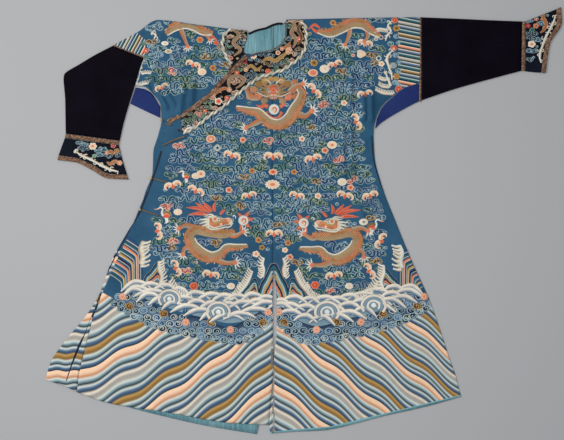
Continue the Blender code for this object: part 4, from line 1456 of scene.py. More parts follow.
@dataclass
class Bat:
    """A flying bat: two curled wings and a small body."""

    x: float
    y: float
    turn: float = 0.0
    size: float = 1.0

    def work(self, needle: Needlework) -> None:
        """Embroider it."""
        c, s = math.cos(math.radians(self.turn)), math.sin(math.radians(self.turn))

        def at(points: Sequence) -> Points:
            """Turn and place points drawn round the bat's middle."""
            p = np.asarray(points, float) * self.size
            x, y = p[..., 0], p[..., 1]
            return np.stack([self.x + x * c - y * s, self.y + x * s + y * c], axis=-1)

        wing = banded("CREAM CREAM BLUSH PEACH CORAL PEACH", 0.6)
        for way, section in ((-1, flipped(wing)), (1, wing)):
            path = [(0.2 * way, 0.9), (2.4 * way, -2.0), (5.4 * way, -3.1), (8.1 * way, -1.7),
                    (8.7 * way, 1.3), (6.4 * way, 3.3)]
            needle.band(at(path), np.array((1.6, 2.5, 2.4, 1.9, 1.3, 0.1)) * self.size, section, 0.15)
            needle.band(at([(2.4 * way, -0.6), (4.6 * way, 0.4), (5.2 * way, 2.0)]),
                        np.array((1.3, 0.8, 0.1)) * self.size, banded("PEACH CREAM BLUSH"), 0.2)
        needle.band(at([(0, -2.6), (0, 0.4), (0, 3.4)]), np.array((1.0, 2.3, 0.9)) * self.size,
                    banded("ORANGE CORAL RED CORAL ORANGE", 0.7), 0.35)
        for way in (-1, 1):
            rings = strands("CREAM PEACH", (1, 0.3), (0, 0.6))
            needle.disc(at((0.9 * way, -2.7)), 0.7 * self.size, rings, 0.5)


class Crane(NamedTuple):
    """A flying crane: a looped white neck, a red back and a spread wing."""

    x: float
    y: float
    way: int
    size: float = 1.0

    def work(self, needle: Needlework) -> None:
        """Embroider it."""
        wide, high = self.size * self.way, self.size
        at = (lambda points: [(self.x + px * wide, self.y + py * high) for px, py in points])
        white = banded("STONE IVORY WHITE PALE_BLUE", 0.5)
        needle.band(at([(-6.5, 1.5), (-3.5, -2.5), (0.5, -3.6), (3.0, -1.0)]), (0.2, 1.5, 1.6, 0.8),
                    banded("OCHRE GREEN GOLD", 0.5), 0.25)
        needle.band(at([(-4.5, 0.5), (-0.5, -0.4), (3.2, 1.2)]), (1.2, 3.3, 1.6),
                    banded("CORAL RED CORAL ORANGE", 0.6), 0.35)
        needle.band(at([(2.8, 0.4), (4.2, -3.0), (3.2, -6.4), (5.2, -8.4), (8.0, -7.2)]),
                    (1.3, 1.1, 0.9, 0.9, 0.7), white, 0.45, 0.7)
        needle.band(at([(8.0, -7.2), (10.0, -6.4), (12.4, -6.8)]), (0.7, 0.5, 0.15),
                    banded("CORAL PEACH CORAL", 0.6), 0.5)
        for reach in (0, 1.6):
            needle.band(at([(-1.0 + reach, 2.6), (-2.2 + reach, 6.0), (-0.4 + reach, 8.4)]), (0.9, 0.9, 0.25),
                        white, 0.35)


class Bloom(NamedTuple):
    """A round flower, peach or emblem, with the threads of its edge, its middle and its heart."""

    x: float
    y: float
    radius: float
    petals: int
    dress: tuple
    squash: float = 0.9

    def work(self, needle: Needlework) -> None:
        """Embroider it."""
        edge, core, heart = self.dress
        rings = ((1, 0.15, edge), (0.85, 0.55, edge), (0.6, 0.6, core), (0.35, 0.55, core),
                 (0.3, 0.75, heart), (0, 0.8, heart))
        needle.disc((self.x, self.y), self.radius, rings, 0.15, self.petals, 0.22, self.squash)


def blooms(*rows: tuple) -> tuple:
    """Blooms from rows of place, radius, petals, the names of their three threads and any squash."""
    return tuple(Bloom(*row[:4], threads(row[4]), *row[5:]) for row in rows)


@dataclass
class Pearl:
    """A flaming pearl."""

    x: float
    y: float
    radius: float
    flames: Sequence = ()

    def work(self, needle: Needlework) -> None:
        """Embroider it with its flames."""
        for path, half in self.flames:
            needle.band(path, (half, half * 0.8, 0.15), banded("RED ORANGE CORAL RED", 0.6), 0.1)
        rings = strands("TEAL ICE IVORY IVORY PEACH CREAM CREAM", (1.12, 0.1), (1, 0.5), (0.86, 0.8),
                        (0.66, 0.85), (0.58, 0.7), (0.3, 0.75), (0, 0.8))
        needle.disc((self.x, self.y), self.radius, rings, 0.2)
        needle.whirl((self.x, self.y + 0.1), self.radius * 0.6, 1.15, self.radius * 0.15,
                     banded("RED RED CORAL"), 0.6, lift=0.8, step=0.4)


@dataclass
class Dragon:
    """A couched gold dragon: a scaled body with a cream fringe, limbs with claws, and a head."""

    body: Sequence
    halves: Sequence
    limbs: Sequence = ()
    head: tuple = (0.0, 0.0)
    facing: int = 1
    full_face: bool = False
    head_size: float = 1.0
    fringe_side: int = 1
    flames: Sequence = ()
    has_head: bool = True
    fringe_from: float = 0.0

    def work(self, needle: Needlework, clear: Keepout) -> None:
        """Embroider the dragon and keep the clouds off it."""
        for path, half in self.flames:
            needle.band(path, (half * 0.5, half, half * 0.7, 0.12),
                        banded("RED CORAL RED CORAL", 0.6), 0.1)
            clear.along(path, half + 1.2)
        for path, half in self.limbs:
            self.limb(needle, path, half)
            clear.along(path, half + 2.0)
        self.trunk(needle)
        clear.along(self.body, max(self.halves) + 1.5)
        if self.has_head:
            if self.full_face:
                self.face(needle)
            else:
                self.profile(needle)
            clear.add(*self.head, 11 * self.head_size)

    def trunk(self, needle: Needlework) -> None:
        """Work the body with its scales, belly and fringe."""
        way = self.fringe_side
        section = strands("BROWN ORANGE COPPER ORANGE TAN GOLD STONE BROWN", (-1, 0.3), (-0.86, 0.7),
                          (-0.55, 1.0), (-0.3, 1.15), (0.1, 1.15), (0.5, 0.95), (0.85, 0.7), (1, 0.3))
        needle.band(self.body, self.halves, section if way > 0 else flipped(section), 0.2, 0.7)
        line = flowing(self.body, 0.5)
        share = np.linspace(0, 1, len(line))
        half = np.interp(share, np.linspace(0, 1, len(self.halves)), self.halves)
        heading, side = headings(line)
        edge = line + side * (half * way * 1.02)[:, None]
        start = round(len(line) * self.fringe_from)
        needle.band(edge[start::4], 0.62, banded("LINEN IVORY LINEN", 0.55), 0.75, 0.7)
        tuft = strands("CREAM IVORY CREAM", (-1, 0.3), (0, 0.7), (1, 0.3))
        for i in range(start + 4, len(line) - 4, 5):
            base, out, along = edge[i], side[i] * way, heading[i]
            needle.band([base, base + out * 0.9 + along * 0.5], (0.5, 0.1), tuft, 0.3, 0.5)
        self.patches(needle, line, heading, side, half)
        self.scales(needle, line, side, half)

    def patches(self, needle: Needlework, line: Points, heading: Points, side: Points, half: Points) -> None:
        """Work the belly's orange and red patches, and tufts of flame along its edge."""
        rng = np.random.default_rng(round(abs(line[0, 0]) * 7))
        i = 10
        while i < len(line) - 10:
            if half[i] > 2.2:
                middle = line[i] - side[i] * self.fringe_side * half[i] * rng.uniform(0.15, 0.6)
                reach = rng.uniform(2.4, 4.6)
                silk = (Silk.ORANGE, Silk.CORAL, Silk.OCHRE, Silk.COPPER)[rng.integers(4)]
                bow = side[i] * rng.uniform(-0.8, 0.8)
                needle.band([middle - heading[i] * reach, middle + bow, middle + heading[i] * reach],
                            (0.2, half[i] * 0.42, 0.2), banded((Silk.ORANGE, silk, Silk.ORANGE), 0.3), 1.12)
            i += int(rng.integers(8, 16))
        for i in range(8, len(line) - 8, 9):
            base = line[i] - side[i] * self.fringe_side * half[i] * 0.9
            out = -side[i] * self.fringe_side
            tip = base + out * rng.uniform(1.0, 2.4) - heading[i] * rng.uniform(1.5, 3.0)
            silk = (Silk.ORANGE, Silk.CREAM, Silk.TAN)[rng.integers(3)]
            needle.band([base + heading[i], base, tip], (0.9, 0.8, 0.1),
                        banded((Silk.TAN, silk, Silk.TAN), 0.4), 0.15)

    def scales(self, needle: Needlework, line: Points, side: Points, half: Points) -> None:
        """Couch crossing threads over the body, which stand for its scales."""
        spread = np.linspace(-0.86, 0.86, 6)
        for i in range(6, len(line) - 6, 4):
            for slant in (-1, 1):
                reach = np.clip(i + np.round(spread * slant * half[i] * 1.6).astype(int), 0, len(line) - 1)
                thread = line[reach] + side[reach] * (spread * half[reach])[:, None]
                silk = Silk.STONE if slant > 0 else Silk.UMBER
                needle.band(thread, 0.2, (Strand(-1, 0.0, silk), Strand(1, 0.12, silk)), 1.18, 1.2)

    def limb(self, needle: Needlework, path: Sequence, half: float) -> None:
        """Work a leg with its five claws."""
        section = strands("BROWN STONE TAN ORANGE ORANGE BROWN", (-1, 0.3), (-0.8, 0.7), (-0.2, 0.95),
                          (0.4, 0.95), (0.85, 0.7), (1, 0.3))
        claw = strands("CREAM WHITE CREAM", (-1, 0.4), (0, 1.0), (1, 0.4))
        pad = strands("ORANGE CORAL CORAL", (1, 0.5), (0.6, 1.1), (0, 1.2))
        needle.band(path, (half, half * 1.05, half * 0.75, half * 0.6), section, 0.25)
        end, before = np.array(path[-1], float), np.array(path[-2], float)
        along = (end - before) / np.linalg.norm(end - before)
        across = np.array([-along[1], along[0]])
        needle.disc(end, half * 0.95, pad, 0.2)
        for spread in (-1.1, -0.5, 0.1, 0.7, 1.4):
            out = along * math.cos(spread) + across * math.sin(spread)
            hook = across * (0.8 if spread > 0 else -0.8)
            base = end + out * half * 0.6
            tip = base + out * half * 1.6 + hook
            needle.band([base, base + out * half * 1.0 + hook * 0.2, tip], (half * 0.3, half * 0.22, 0.08),
                        claw, 0.2, 0.5)

    def head_points(self, points: Sequence) -> Points:
        """Place points drawn round the middle of a head."""
        p = np.asarray(points, float) * self.head_size
        return np.stack([self.head[0] + p[..., 0] * self.facing, self.head[1] + p[..., 1]], axis=-1)

    def profile(self, needle: Needlework) -> None:
        """Work a head seen from the side."""
        at = self.head_points
        mane = (Silk.SAGE, Silk.CREAM, Silk.IVORY, Silk.CREAM)
        for reach, rise in ((-15, -1.5), (-14.5, 1.5), (-13, 4.2), (-10.5, 6.2)):
            needle.band(at([(-2, rise * 0.4), (reach * 0.6, rise * 0.7 - 1.0), (reach, rise)]),
                        (1.6, 1.4, 0.2), banded(mane, 0.6), 0.5)
        for rise in (-5.4, -3.9):
            needle.band(at([(-0.5, -3.4), (-4.5, rise - 0.8), (-8.5, rise - 0.2), (-11, rise - 1.6)]),
                        (1.0, 0.8, 0.6, 0.12), banded("CREAM IVORY STONE", 0.7), 0.9)
        needle.patch(at([(-8.5, 1.5), (-7.5, -2.8), (-3, -5.2), (2.2, -4.6), (5.0, -3.0), (9.4, -3.6),
                         (12.4, -1.6), (11.8, 1.8), (7.0, 2.6), (1.5, 4.2), (-4.0, 5.2)]), Silk.CREAM,
                     Silk.ORANGE, 1.2, 0.2, 0.3)
        needle.patch(at([(-5.5, 0.4), (-4.5, -2.8), (-1.5, -4.0), (2.2, -3.2), (5.0, -1.9), (8.6, -2.2),
                         (10.2, -1.0), (9.6, 0.6), (5.0, 0.8), (1.0, 1.6), (-3.0, 2.4)]), Silk.COPPER,
                     Silk.GOLD, 0.6, 1.0, 0.3)
        knobs = (((-4.2, 1.6), 1.7, Silk.CORAL), ((3.4, 1.6), 1.3, Silk.PEACH),
                 ((6.6, -1.4), 1.4, Silk.CORAL), ((-4.8, -2.2), 1.4, Silk.ORANGE))
        for spot, radius, silk in knobs:
            rings = ((1, 0.3, Silk.ORANGE), (0.7, 0.6, silk), (0, 0.7, silk))
            needle.disc(at(spot), radius * self.head_size, rings, 1.2)
        cheek = strands("SAGE CREAM CORAL RED", (1, 0.3), (0.75, 0.8), (0.3, 0.9), (0, 1))
        needle.disc(at((-1.5, -2.6)), 2.9 * self.head_size, cheek, 1.1)
        needle.band(at([(-9.5, 2.0), (-5, 5.6), (1, 5.4), (6, 4.2), (10.5, 3.6), (13, 0.6)]),
                    (0.8, 1.0, 1.0, 0.9, 0.8, 0.5), banded("SAGE CREAM IVORY STONE", 0.8), 0.8)
        needle.band(at([(1.5, 2.2), (5.5, 2.0), (9.5, 1.7)]), (0.4, 0.6, 0.2), banded("RED RED RED"), 1.3)
        for x in (4.0, 6.0, 8.0):
            needle.band(at([(x, 1.7), (x + 0.1, 2.9)]), (0.4, 0.1), banded("WHITE WHITE WHITE"), 1.5, 0.5)
        nose = strands("CORAL PEACH CORAL", (1, 0.6), (0.6, 1.2), (0, 1.3))
        needle.disc(at((9.9, -1.9)), 1.7 * self.head_size, nose, 0.8)
        needle.band(at([(-1.5, -3.3), (1.0, -4.2), (3.6, -3.2)]), (0.4, 0.9, 0.3),
                    banded("GREEN SAGE CREAM", 0.5), 1.6)
        eye = strands("BLACK WHITE WHITE BLACK BLACK", (1, 0.6), (0.82, 1.0), (0.5, 1.1), (0.42, 1.15),
                      (0, 1.2))
        needle.disc(at((1.6, -2.0)), 1.35 * self.head_size, eye, 1.0)
        needle.band(at([(5.2, -2.4), (7.0, -0.9), (5.0, 0.2), (1.0, 0.9)]), (0.5, 0.6, 0.5, 0.2),
                    banded("CORAL RED CORAL"), 1.5)
        needle.whirl(at((13.5, -4.2)), 1.9 * self.head_size, 0.8, 0.45, banded("IVORY WHITE IVORY"), 2.0,
                     self.facing, 0.4, step=0.5)
        for reach in (0, 1.6, 3.2):
            needle.band(at([(-3 + reach, 4.0), (-4.5 + reach, 6.0), (-7.5 + reach, 6.6)]), (0.8, 0.6, 0.1),
                        banded("SAGE CREAM SAGE"), 0.6)

    def face(self, needle: Needlework) -> None:
        """Work a head seen from the front."""
        at = self.head_points
        locks = (((22, 4.5), 4.6, Silk.ORANGE), ((18.5, -2), 4.4, Silk.COPPER),
                 ((20, -9.5), 3.4, Silk.ORANGE), ((8, -10.5), 4.2, Silk.GOLD),
                 ((13.5, -7.5), 4.2, Silk.OCHRE), ((14.5, 4.5), 4.6, Silk.CORAL),
                 ((8.5, 8.5), 3.8, Silk.TAN), ((2.5, -12), 3.4, Silk.GOLD))
        nose = strands("ORANGE RED CORAL RED", (1, 0.4), (0.85, 0.9), (0.4, 1.1), (0, 1.1))
        eye = strands("UMBER LINEN LINEN BLACK BLACK", (1, 0.4), (0.8, 0.8), (0.5, 0.9), (0.42, 1.0),
                      (0, 1.1))
        nostril = strands("ORANGE PEACH CORAL", (1, 0.5), (0.6, 1.0), (0, 1.1))
        for way in (-1, 1):
            for spot, radius, silk in locks:
                centre = at((spot[0] * way, spot[1]))
                rings = ((1, 0.2, Silk.UMBER), (0.88, 0.6, silk), (0, 0.7, silk))
                needle.disc(centre, radius, rings, 0.1, 5, 0.15, 0.85)
                needle.whirl(centre, radius * 0.75, 1.1, 0.4, banded("BROWN TAN BROWN"), 0.4, way, 0.6)
            for reach, rise in ((13.5, -3.5), (14.5, 0.5), (13.0, 4.0), (9.5, 7.0)):
                needle.band(at([(3 * way, rise * 0.3), (reach * 0.6 * way, rise * 0.8),
                                (reach * way, rise - 1.2)]), (1.8, 1.7, 0.25),
                            banded("UMBER OCHRE TAN UMBER", 0.6), 0.6)
            needle.band(at([(1.8 * way, -5), (3.4 * way, -9), (7.0 * way, -11.5), (9.5 * way, -10.5)]),
                        (0.9, 0.9, 0.6, 0.15), banded("ASH LINEN GOLD", 0.7), 0.8)
            needle.band(at([(5.5 * way, -4), (9.0 * way, -6.8), (11.0 * way, -5.6)]), (1.5, 1.3, 0.3),
                        banded("OCHRE ORANGE TAN", 0.7), 0.7)
        needle.patch(at([(0, -8), (4.5, -7.4), (7.4, -4.0), (7.8, 0.5), (6.2, 4.8), (2.8, 7.2), (0, 7.6),
                         (-2.8, 7.2), (-6.2, 4.8), (-7.8, 0.5), (-7.4, -4.0), (-4.5, -7.4)]), Silk.UMBER,
                     Silk.TAN, 1.3, 0.3, 0.14)
        needle.disc(at((0, -1.6)), 4.9 * self.head_size, nose, 1.2, 5, 0.2)
        for way in (-1, 1):
            needle.band(at([(1.6 * way, -1.6), (3.9 * way, -3.2), (7.0 * way, -2.2)]), (0.4, 0.7, 0.2),
                        banded("GREEN MOSS GOLD"), 1.9)
            needle.disc(at((3.6 * way, -0.2)), 1.25 * self.head_size, eye, 1.9)
            needle.disc(at((1.5 * way, 3.0)), 1.5 * self.head_size, nostril, 1.4)
            needle.band(at([(2.5 * way, 3.8), (8.5 * way, 4.0), (15.0 * way, 0.6), (17.5 * way, 1.6)]),
                        (0.4, 0.5, 0.45, 0.1), banded("STONE IVORY STONE"), 1.5)
        needle.band(at([(-4.6, 4.6), (0, 6.2), (4.6, 4.6)]), (0.3, 0.9, 0.3), banded("RED RED CORAL"), 1.6)
        for x in (-2.4, -0.8, 0.8, 2.4):
            needle.band(at([(x, 5.2), (x, 6.4)]), (0.45, 0.15), banded("WHITE WHITE WHITE"), 2.0, 0.5)


# Regions of the motif chart that are filled with clouds.
LEFT_CLOUDS = ((274, 22), (309, 21), (384, 18), (383, 88), (375, 97), (364, 101), (365, 118), (361, 136),
               (367, 158), (375, 175), (382, 210), (388, 240), (386, 268), (366, 292), (340, 300), (300, 298),
               (289, 262), (276, 258))
RIGHT_CLOUDS = ((271.5, 50), (190, 135), (175, 146), (169, 164), (163, 184), (160, 203), (152, 224),
                (149, 240), (157, 262), (172, 288), (205, 300), (247, 298), (258, 262), (271.5, 258))
ARM_CLOUDS = ((147, 25), (160, 18), (240, 22), (236, 50), (226, 80), (215, 83), (190, 91), (175, 96),
              (160, 93), (142, 88), (143, 60), (146, 40))

# Bats, as (x, y, turn in degrees, size).
BATS = ((193, 65, 20, 0.79), (162, 88, -25, 0.70), (232, 156, 15, 0.88), (273, 157, 0, 0.97),
        (173, 186, -15, 0.88), (196, 191, 25, 0.88), (314, 91, 48, 0.88), (365, 94.5, -10, 0.79),
        (365, 44, 10, 0.79), (335, 65, -20, 0.79), (356, 122, 70, 0.88), (313, 159, -15, 0.88),
        (345, 196, 15, 0.88), (370, 196, -20, 0.84), (158, 231, 82, 0.88), (176, 268, 70, 0.88),
        (211, 275, 10, 0.88), (274, 234, 0, 0.88), (381, 241, -60, 0.88), (369, 271, 60, 0.88),
        (334, 276, -10, 0.88), (297, 196, 15, 0.79), (249, 196, -15, 0.79))

# Flowers, peaches and emblems: place, radius, petals, then edge, middle and heart threads.
BLOOMS = blooms(
    (202, 72, 4.6, 0, "CREAM BLUSH PEACH", 0.8), (213, 68, 3.6, 6, "GOLD ORANGE BROWN"),
    (211, 139, 5.0, 0, "PEACH CORAL PEACH", 0.8), (217.5, 148, 4.2, 4, "STONE ICE NAVY"),
    (201, 174, 4.6, 0, "CREAM PEACH CORAL", 0.85), (196, 176, 4.4, 0, "CREAM BLUSH LINEN", 0.7),
    (272.5, 184.5, 7.8, 12, "CREAM PEACH CORAL", 0.62), (273, 172, 4.6, 8, "PEACH CORAL RED", 0.7),
    (313, 73, 5.0, 0, "PEACH CORAL CORAL", 0.75), (314, 63, 4.0, 8, "GOLD OCHRE BROWN"),
    (324.5, 69, 5.0, 0, "CREAM LINEN PEACH", 0.85), (361, 54, 4.8, 3, "CREAM BLUSH LINEN"),
    (332, 145, 5.0, 0, "CREAM PEACH CORAL", 0.8), (325, 150.5, 3.6, 5, "PEACH CORAL RED"),
    (342, 182, 4.8, 0, "LINEN CREAM BLUSH", 0.8), (350.5, 187.5, 3.6, 5, "PEACH CORAL RED"),
    (178, 212, 4.4, 0, "CREAM BLUSH LINEN", 0.75), (363.5, 222, 4.6, 0, "CREAM LINEN SAGE", 0.75),
    (194, 286, 4.6, 6, "CORAL RED ORANGE"), (315, 285, 4.6, 6, "CORAL RED ORANGE"),
    (231, 286, 4.2, 0, "CREAM LINEN PEACH", 0.8), (349, 286, 4.2, 0, "CREAM LINEN PEACH", 0.8),
    (165, 43.5, 3.8, 0, "CREAM IVORY STONE", 0.6), (168.5, 51.5, 3.8, 0, "CREAM STONE TAN", 0.6),
    (258.5, 240, 3.4, 5, "GOLD ORANGE BROWN"), (262, 247.5, 3.0, 5, "GOLD OCHRE BROWN"),
    (256, 254, 3.8, 5, "CREAM PEACH CORAL"), (288, 243, 3.4, 5, "GOLD ORANGE BROWN"),
    (285, 250, 3.2, 5, "CREAM PEACH CORAL"), (290, 257, 3.4, 5, "PEACH CORAL RED"),
    (200, 40, 3.8, 6, "GOLD ORANGE RED"), (216, 43, 2.6, 5, "CORAL RED ORANGE"),
    (333, 23, 3.4, 6, "GOLD ORANGE BROWN"), (229, 190, 3.6, 5, "PEACH CORAL RED"),
    (318, 196, 3.6, 5, "CREAM PEACH CORAL"), (252, 171, 3.2, 5, "GOLD ORANGE BROWN"),
    (294, 172, 3.2, 5, "GOLD ORANGE BROWN"), (344, 103, 3.4, 5, "CREAM PEACH CORAL"),
    (243, 140, 3.4, 5, "PEACH CORAL RED"), (302, 139, 3.4, 5, "CREAM PEACH RED"),
)

# Cranes of the skirt: place, the way they face and size.
CRANES = (Crane(166, 215.5, -1, 0.95), Crane(372.5, 227.5, 1, 0.95), Crane(186, 177, -1, 0.7))

# Dark silk between the two parts of the collar.
NECK_JOIN = ((246.5, 54.5), (240, 60), (233, 65.5), (229, 70))

# Dark piping down the front's two open sides, which also paints the shadow that the front's thick edge casts
# beside it.
SIDE_PIPING_AND_SHADOW = ((((161.5, 151), (157.5, 165), (152, 181), (146, 197), (139.5, 212.5), (131.5, 226), (123, 241),
                 (114, 258), (104, 280), (98, 303), (93, 315), (86, 333), (79.5, 345), (73.5, 361),
                 (67, 381)), 1.05), (((371.6, 136), (373.2, 158), (378.6, 178), (386.4, 198), (396.2, 222),
                                      (406.8, 247), (417, 270)), 0.5))

ARM_FOOT = 95  # row of the chart below which nothing lies on the right arm

# Seeds of the random draws, one for each scattered work.
WAVE_SEED, SPIRAL_SEED, BORDER_SEED, COLLAR_SEED, CUFF_SEED = 17, 5, 61, 41, 51
LEFT_SEED, RIGHT_SEED, ARM_SEED = 11, 23, 31

# The three large dragons and those on the shoulders.
CHEST_PEARL = (274, 109.5)
CHEST_DRAGON = Dragon(body=((236, 107.5), (248, 111), (258, 113), (264, 119), (271, 124), (281, 124.5),
                            (290, 118.5), (295.5, 109), (300.5, 101), (302.5, 93.5), (298.5, 87)),
                      halves=(1.4, 3.2, 4.0, 4.8, 5.2, 5.2, 5.8, 5.8, 5.0, 4.2, 2.6),
                      limbs=((((262, 120), (254, 124), (246, 128)), 2.8),
                             (((297, 113), (305, 116), (312, 111)), 3.2),
                             (((258, 98), (250, 97), (246, 88)), 3.0),
                             (((289, 92), (296, 86), (303, 84)), 2.8)), head=(273.5, 92), full_face=True,
                      head_size=1.06, fringe_side=-1, flames=((((266, 104), (261, 107), (256, 105)), 2.0),
                          (((281, 104), (285, 100), (290, 98.5)), 2.0),
                          (((266, 114), (273, 118.5), (281, 116)), 1.8)),)
CHEST_FLAMES = ((((268, 107), (264, 105), (263, 101)), 2.2), (((280, 107), (284, 104), (286, 100)), 2.2),
                (((266, 112), (269, 117), (274, 118)), 1.8), (((282, 112), (279, 117), (274, 118)), 1.8))
SKIRT_DRAGONS = ((217, 219.5, 1), (330, 222, -1))
PEARL_FLAMES = ((7, -10), (12, -2), (8, 8), (-4, 10), (-6, -8))
SKIRT_BODY = ((18, 13.5), (5, 14.5), (-9, 12.5), (-21, 10.5), (-27.5, 16), (-25, 26), (-16, 34.5), (-6, 38),
              (4, 34.5), (10, 28.5), (19, 28), (31, 26.5))
SKIRT_HALVES = (3.2, 4.6, 5.0, 5.0, 5.2, 5.8, 6.4, 6.0, 4.6, 3.8, 3.0, 1.6)
SKIRT_LIMBS = ((((12, 15), (19, 16), (26, 12)), 2.8), (((-22, 8), (-31, 6), (-38, 9)), 2.8),
               (((-4, 38), (7, 43), (18, 43)), 3.0), (((-24, 27), (-32, 29), (-34, 35)), 2.7))
SKIRT_FLAMES = ((((-8, -8), (-18, -11), (-31, -12)), 2.3), (((-9, -5), (-18, -6), (-29, -5)), 2.1),
                (((-5, -8), (-10, -13), (-14, -18)), 2.3), (((-2, -8), (-3, -13), (-1, -18)), 1.9),
                (((-7, -7), (-14, -12), (-22, -17)), 2.1), (((3, -5), (7, -9), (10, -10)), 1.6))
SHOULDER_DRAGONS = (Dragon(body=((318, 31), (330, 33), (341, 28), (351, 23), (363, 24), (372, 31), (380, 36)),
                           halves=(2.0, 4.0, 5.0, 5.4, 5.0, 3.8, 2.0),
                           limbs=((((350, 27), (349, 36), (345, 45)), 2.4),
                                  (((366, 28), (368, 36), (364, 42)), 2.4)), has_head=False,
                           flames=((((322, 34), (315, 31), (310, 26)), 1.8),
                                   (((320, 28), (314, 25), (308, 30)), 1.5))),
                    Dragon(body=((166, 34), (174, 27), (184, 23), (194, 25), (203, 31), (213, 33)),
                           halves=(2.2, 4.4, 5.6, 5.4, 4.0, 2.0),
                           limbs=((((180, 26), (184, 37), (188, 47)), 2.4),
                                  (((200, 30), (207, 36), (210, 40)), 2.2)), has_head=False,
                           flames=((((208, 34), (214, 38), (219, 44)), 1.5),)),)

# Rocks of the hem's edge: place of the apex, half width, depth and how far the apex leans.
ROCKS = (
    (273.7, 264.5, 16.5, 34.0, 0.0), (251.5, 279.0, 10.0, 20.0, 3.0), (295.5, 279.0, 10.0, 20.0, -3.0),
    (154, 263, 11.0, 23.0, 4.0), (389, 269, 11.0, 22.0, -4.0),
)
SIDE_ROCKS = (((399.5, 254), 1, 0.42), ((141.5, 248), -1, 0.66))
ROCK_BANDS = (Silk.NAVY, Silk.TEAL, Silk.ICE, Silk.GOLD, Silk.NAVY, Silk.CORAL, Silk.ICE, Silk.TEAL,
              Silk.OCHRE)

# Upper and lower edges of the rolling waves on the left half, and the whirlpools in them.
WAVES_TOP = ((279, 302), (300, 297), (325, 298), (350, 296), (372, 291), (392, 287), (418, 288))
WAVES_FOOT = ((279, 307), (296, 321), (318, 326), (340, 321), (362, 316), (386, 308), (420, 294))
WHIRLS = {1: ((327, 312, 13.0), (373.5, 305.5, 13.0)), -1: ((218.5, 312, 12.5), (169.5, 299, 11.5))}
SPIRAL_BAND = ((277, 306), (290, 311), (303, 321), (318, 327), (332, 323), (347, 317), (362, 315), (377, 313),
               (393, 304), (406, 295), (419, 290), (431, 296), (433, 305), (418, 313), (400, 322), (374, 331),
               (350, 335), (325, 340), (303, 341), (288, 331), (277, 320))
SPIRAL_TOP = 12  # how many of the band's places lie on its upper edge
KNOBS = ((279, 312), (316.5, 329.5), (361, 322), (424, 296.5))
GOLD_SPIRALS = ((284, 322.5), (336, 322), (383, 313.5), (417, 306))

# Combs of foam beside the rocks of the right half: stem, side of the fingers and their length.
COMBS = (
    (((141.5, 264), (143, 257), (141.5, 249), (143, 241)), 1, 7.5),
    (((160, 285), (162, 277), (159.5, 269), (159, 261)), 1, 5.5),
    (((190, 299), (181, 295), (174, 289), (169, 281)), 1, 5.5),
    (((262, 277), (263.5, 270), (262, 264), (264, 258)), -1, 4.8),
    (((241, 290), (246, 284), (249, 278), (252.5, 271)), -1, 5.2),
    (((229, 299), (236, 296), (240, 291), (243, 285)), -1, 5.0),
)

# The borders at the ends of the striped sleeves, and the dress of the trims.
BORDER_SPIRALS = ((396, 36.5, 3.0, Silk.ROYAL, Silk.ICE), (390.5, 43.8, 3.4, Silk.TEAL, Silk.ICE),
                  (395.5, 55.2, 3.2, Silk.SKY, Silk.ICE), (393.2, 65.6, 4.2, Silk.LILAC, Silk.SAGE),
                  (398, 71, 3.0, Silk.TEAL, Silk.ICE), (395, 82.5, 3.2, Silk.SKY, Silk.ICE),
                  (390, 23, 2.6, Silk.GREEN, Silk.SAGE), (398, 84, 2.6, Silk.TEAL, Silk.ICE),
                  (399, 62, 2.6, Silk.SKY, Silk.ICE), (398, 43, 2.4, Silk.TEAL, Silk.ICE),
                  (150, 46, 3.0, Silk.SKY, Silk.ICE), (161, 55, 3.0, Silk.ROYAL, Silk.ICE),
                  (147, 57, 2.8, Silk.TEAL, Silk.SAGE), (153, 67, 2.8, Silk.SKY, Silk.ICE),
                  (143, 44, 2.6, Silk.GREEN, Silk.SAGE))
BORDER_FOAM = (
    (((391, 22), (388, 26), (391, 31), (387, 36), (385.5, 41)), (0.7, 1.3, 1.2, 1.6, 0.6)),
    (((393, 50), (388.5, 55), (387, 60), (389, 67), (391.5, 74), (392, 80)), (0.5, 1.5, 1.7, 1.4, 1.3, 0.6)),
    (((385, 72), (388, 79), (391, 86)), (0.8, 1.3, 1.7)),
    (((134, 88), (137.5, 78), (140, 68), (144, 58)), (1.6, 2.0, 1.8, 0.8)),
    (((152, 33), (156, 35), (154, 39)), (0.8, 1.4, 0.6)),
)
BORDER_COMBS = (
    (((393, 94), (384, 93.5), (375, 90)), 1, 3.6), (((389, 87.5), (383, 87), (378, 84.5)), 1, 3.2),
    (((386, 80.5), (382, 80), (378, 78)), 1, 3.0), (((387, 30), (380, 29), (374, 30)), -1, 3.0),
    (((139, 86), (144, 84), (149, 84)), -1, 3.0), (((142, 74), (147, 73), (151, 74)), -1, 2.8),
)
BORDER_BLOOMS = blooms(
    (394.5, 20.4, 3.6, 7, "CORAL RED CORAL"), (396.4, 28.4, 3.6, 6, "GOLD OCHRE BROWN"),
    (393.6, 48.4, 3.6, 7, "CORAL RED PEACH"), (396.4, 76.5, 3.6, 6, "GOLD OCHRE ORANGE"),
    (398.6, 89.2, 4.0, 8, "CORAL RED CORAL"), (381.4, 64, 3.2, 5, "IVORY PEACH CORAL"),
    (378.6, 58.4, 2.8, 0, "IVORY SKY NAVY"), (376, 39, 2.2, 0, "IVORY SKY PEACH"),
    (381, 37.6, 2.4, 0, "PEACH SKY NAVY"), (140, 88, 3.0, 0, "CREAM ROYAL NAVY"),
    (146, 51, 3.0, 6, "CORAL RED PEACH"),
)
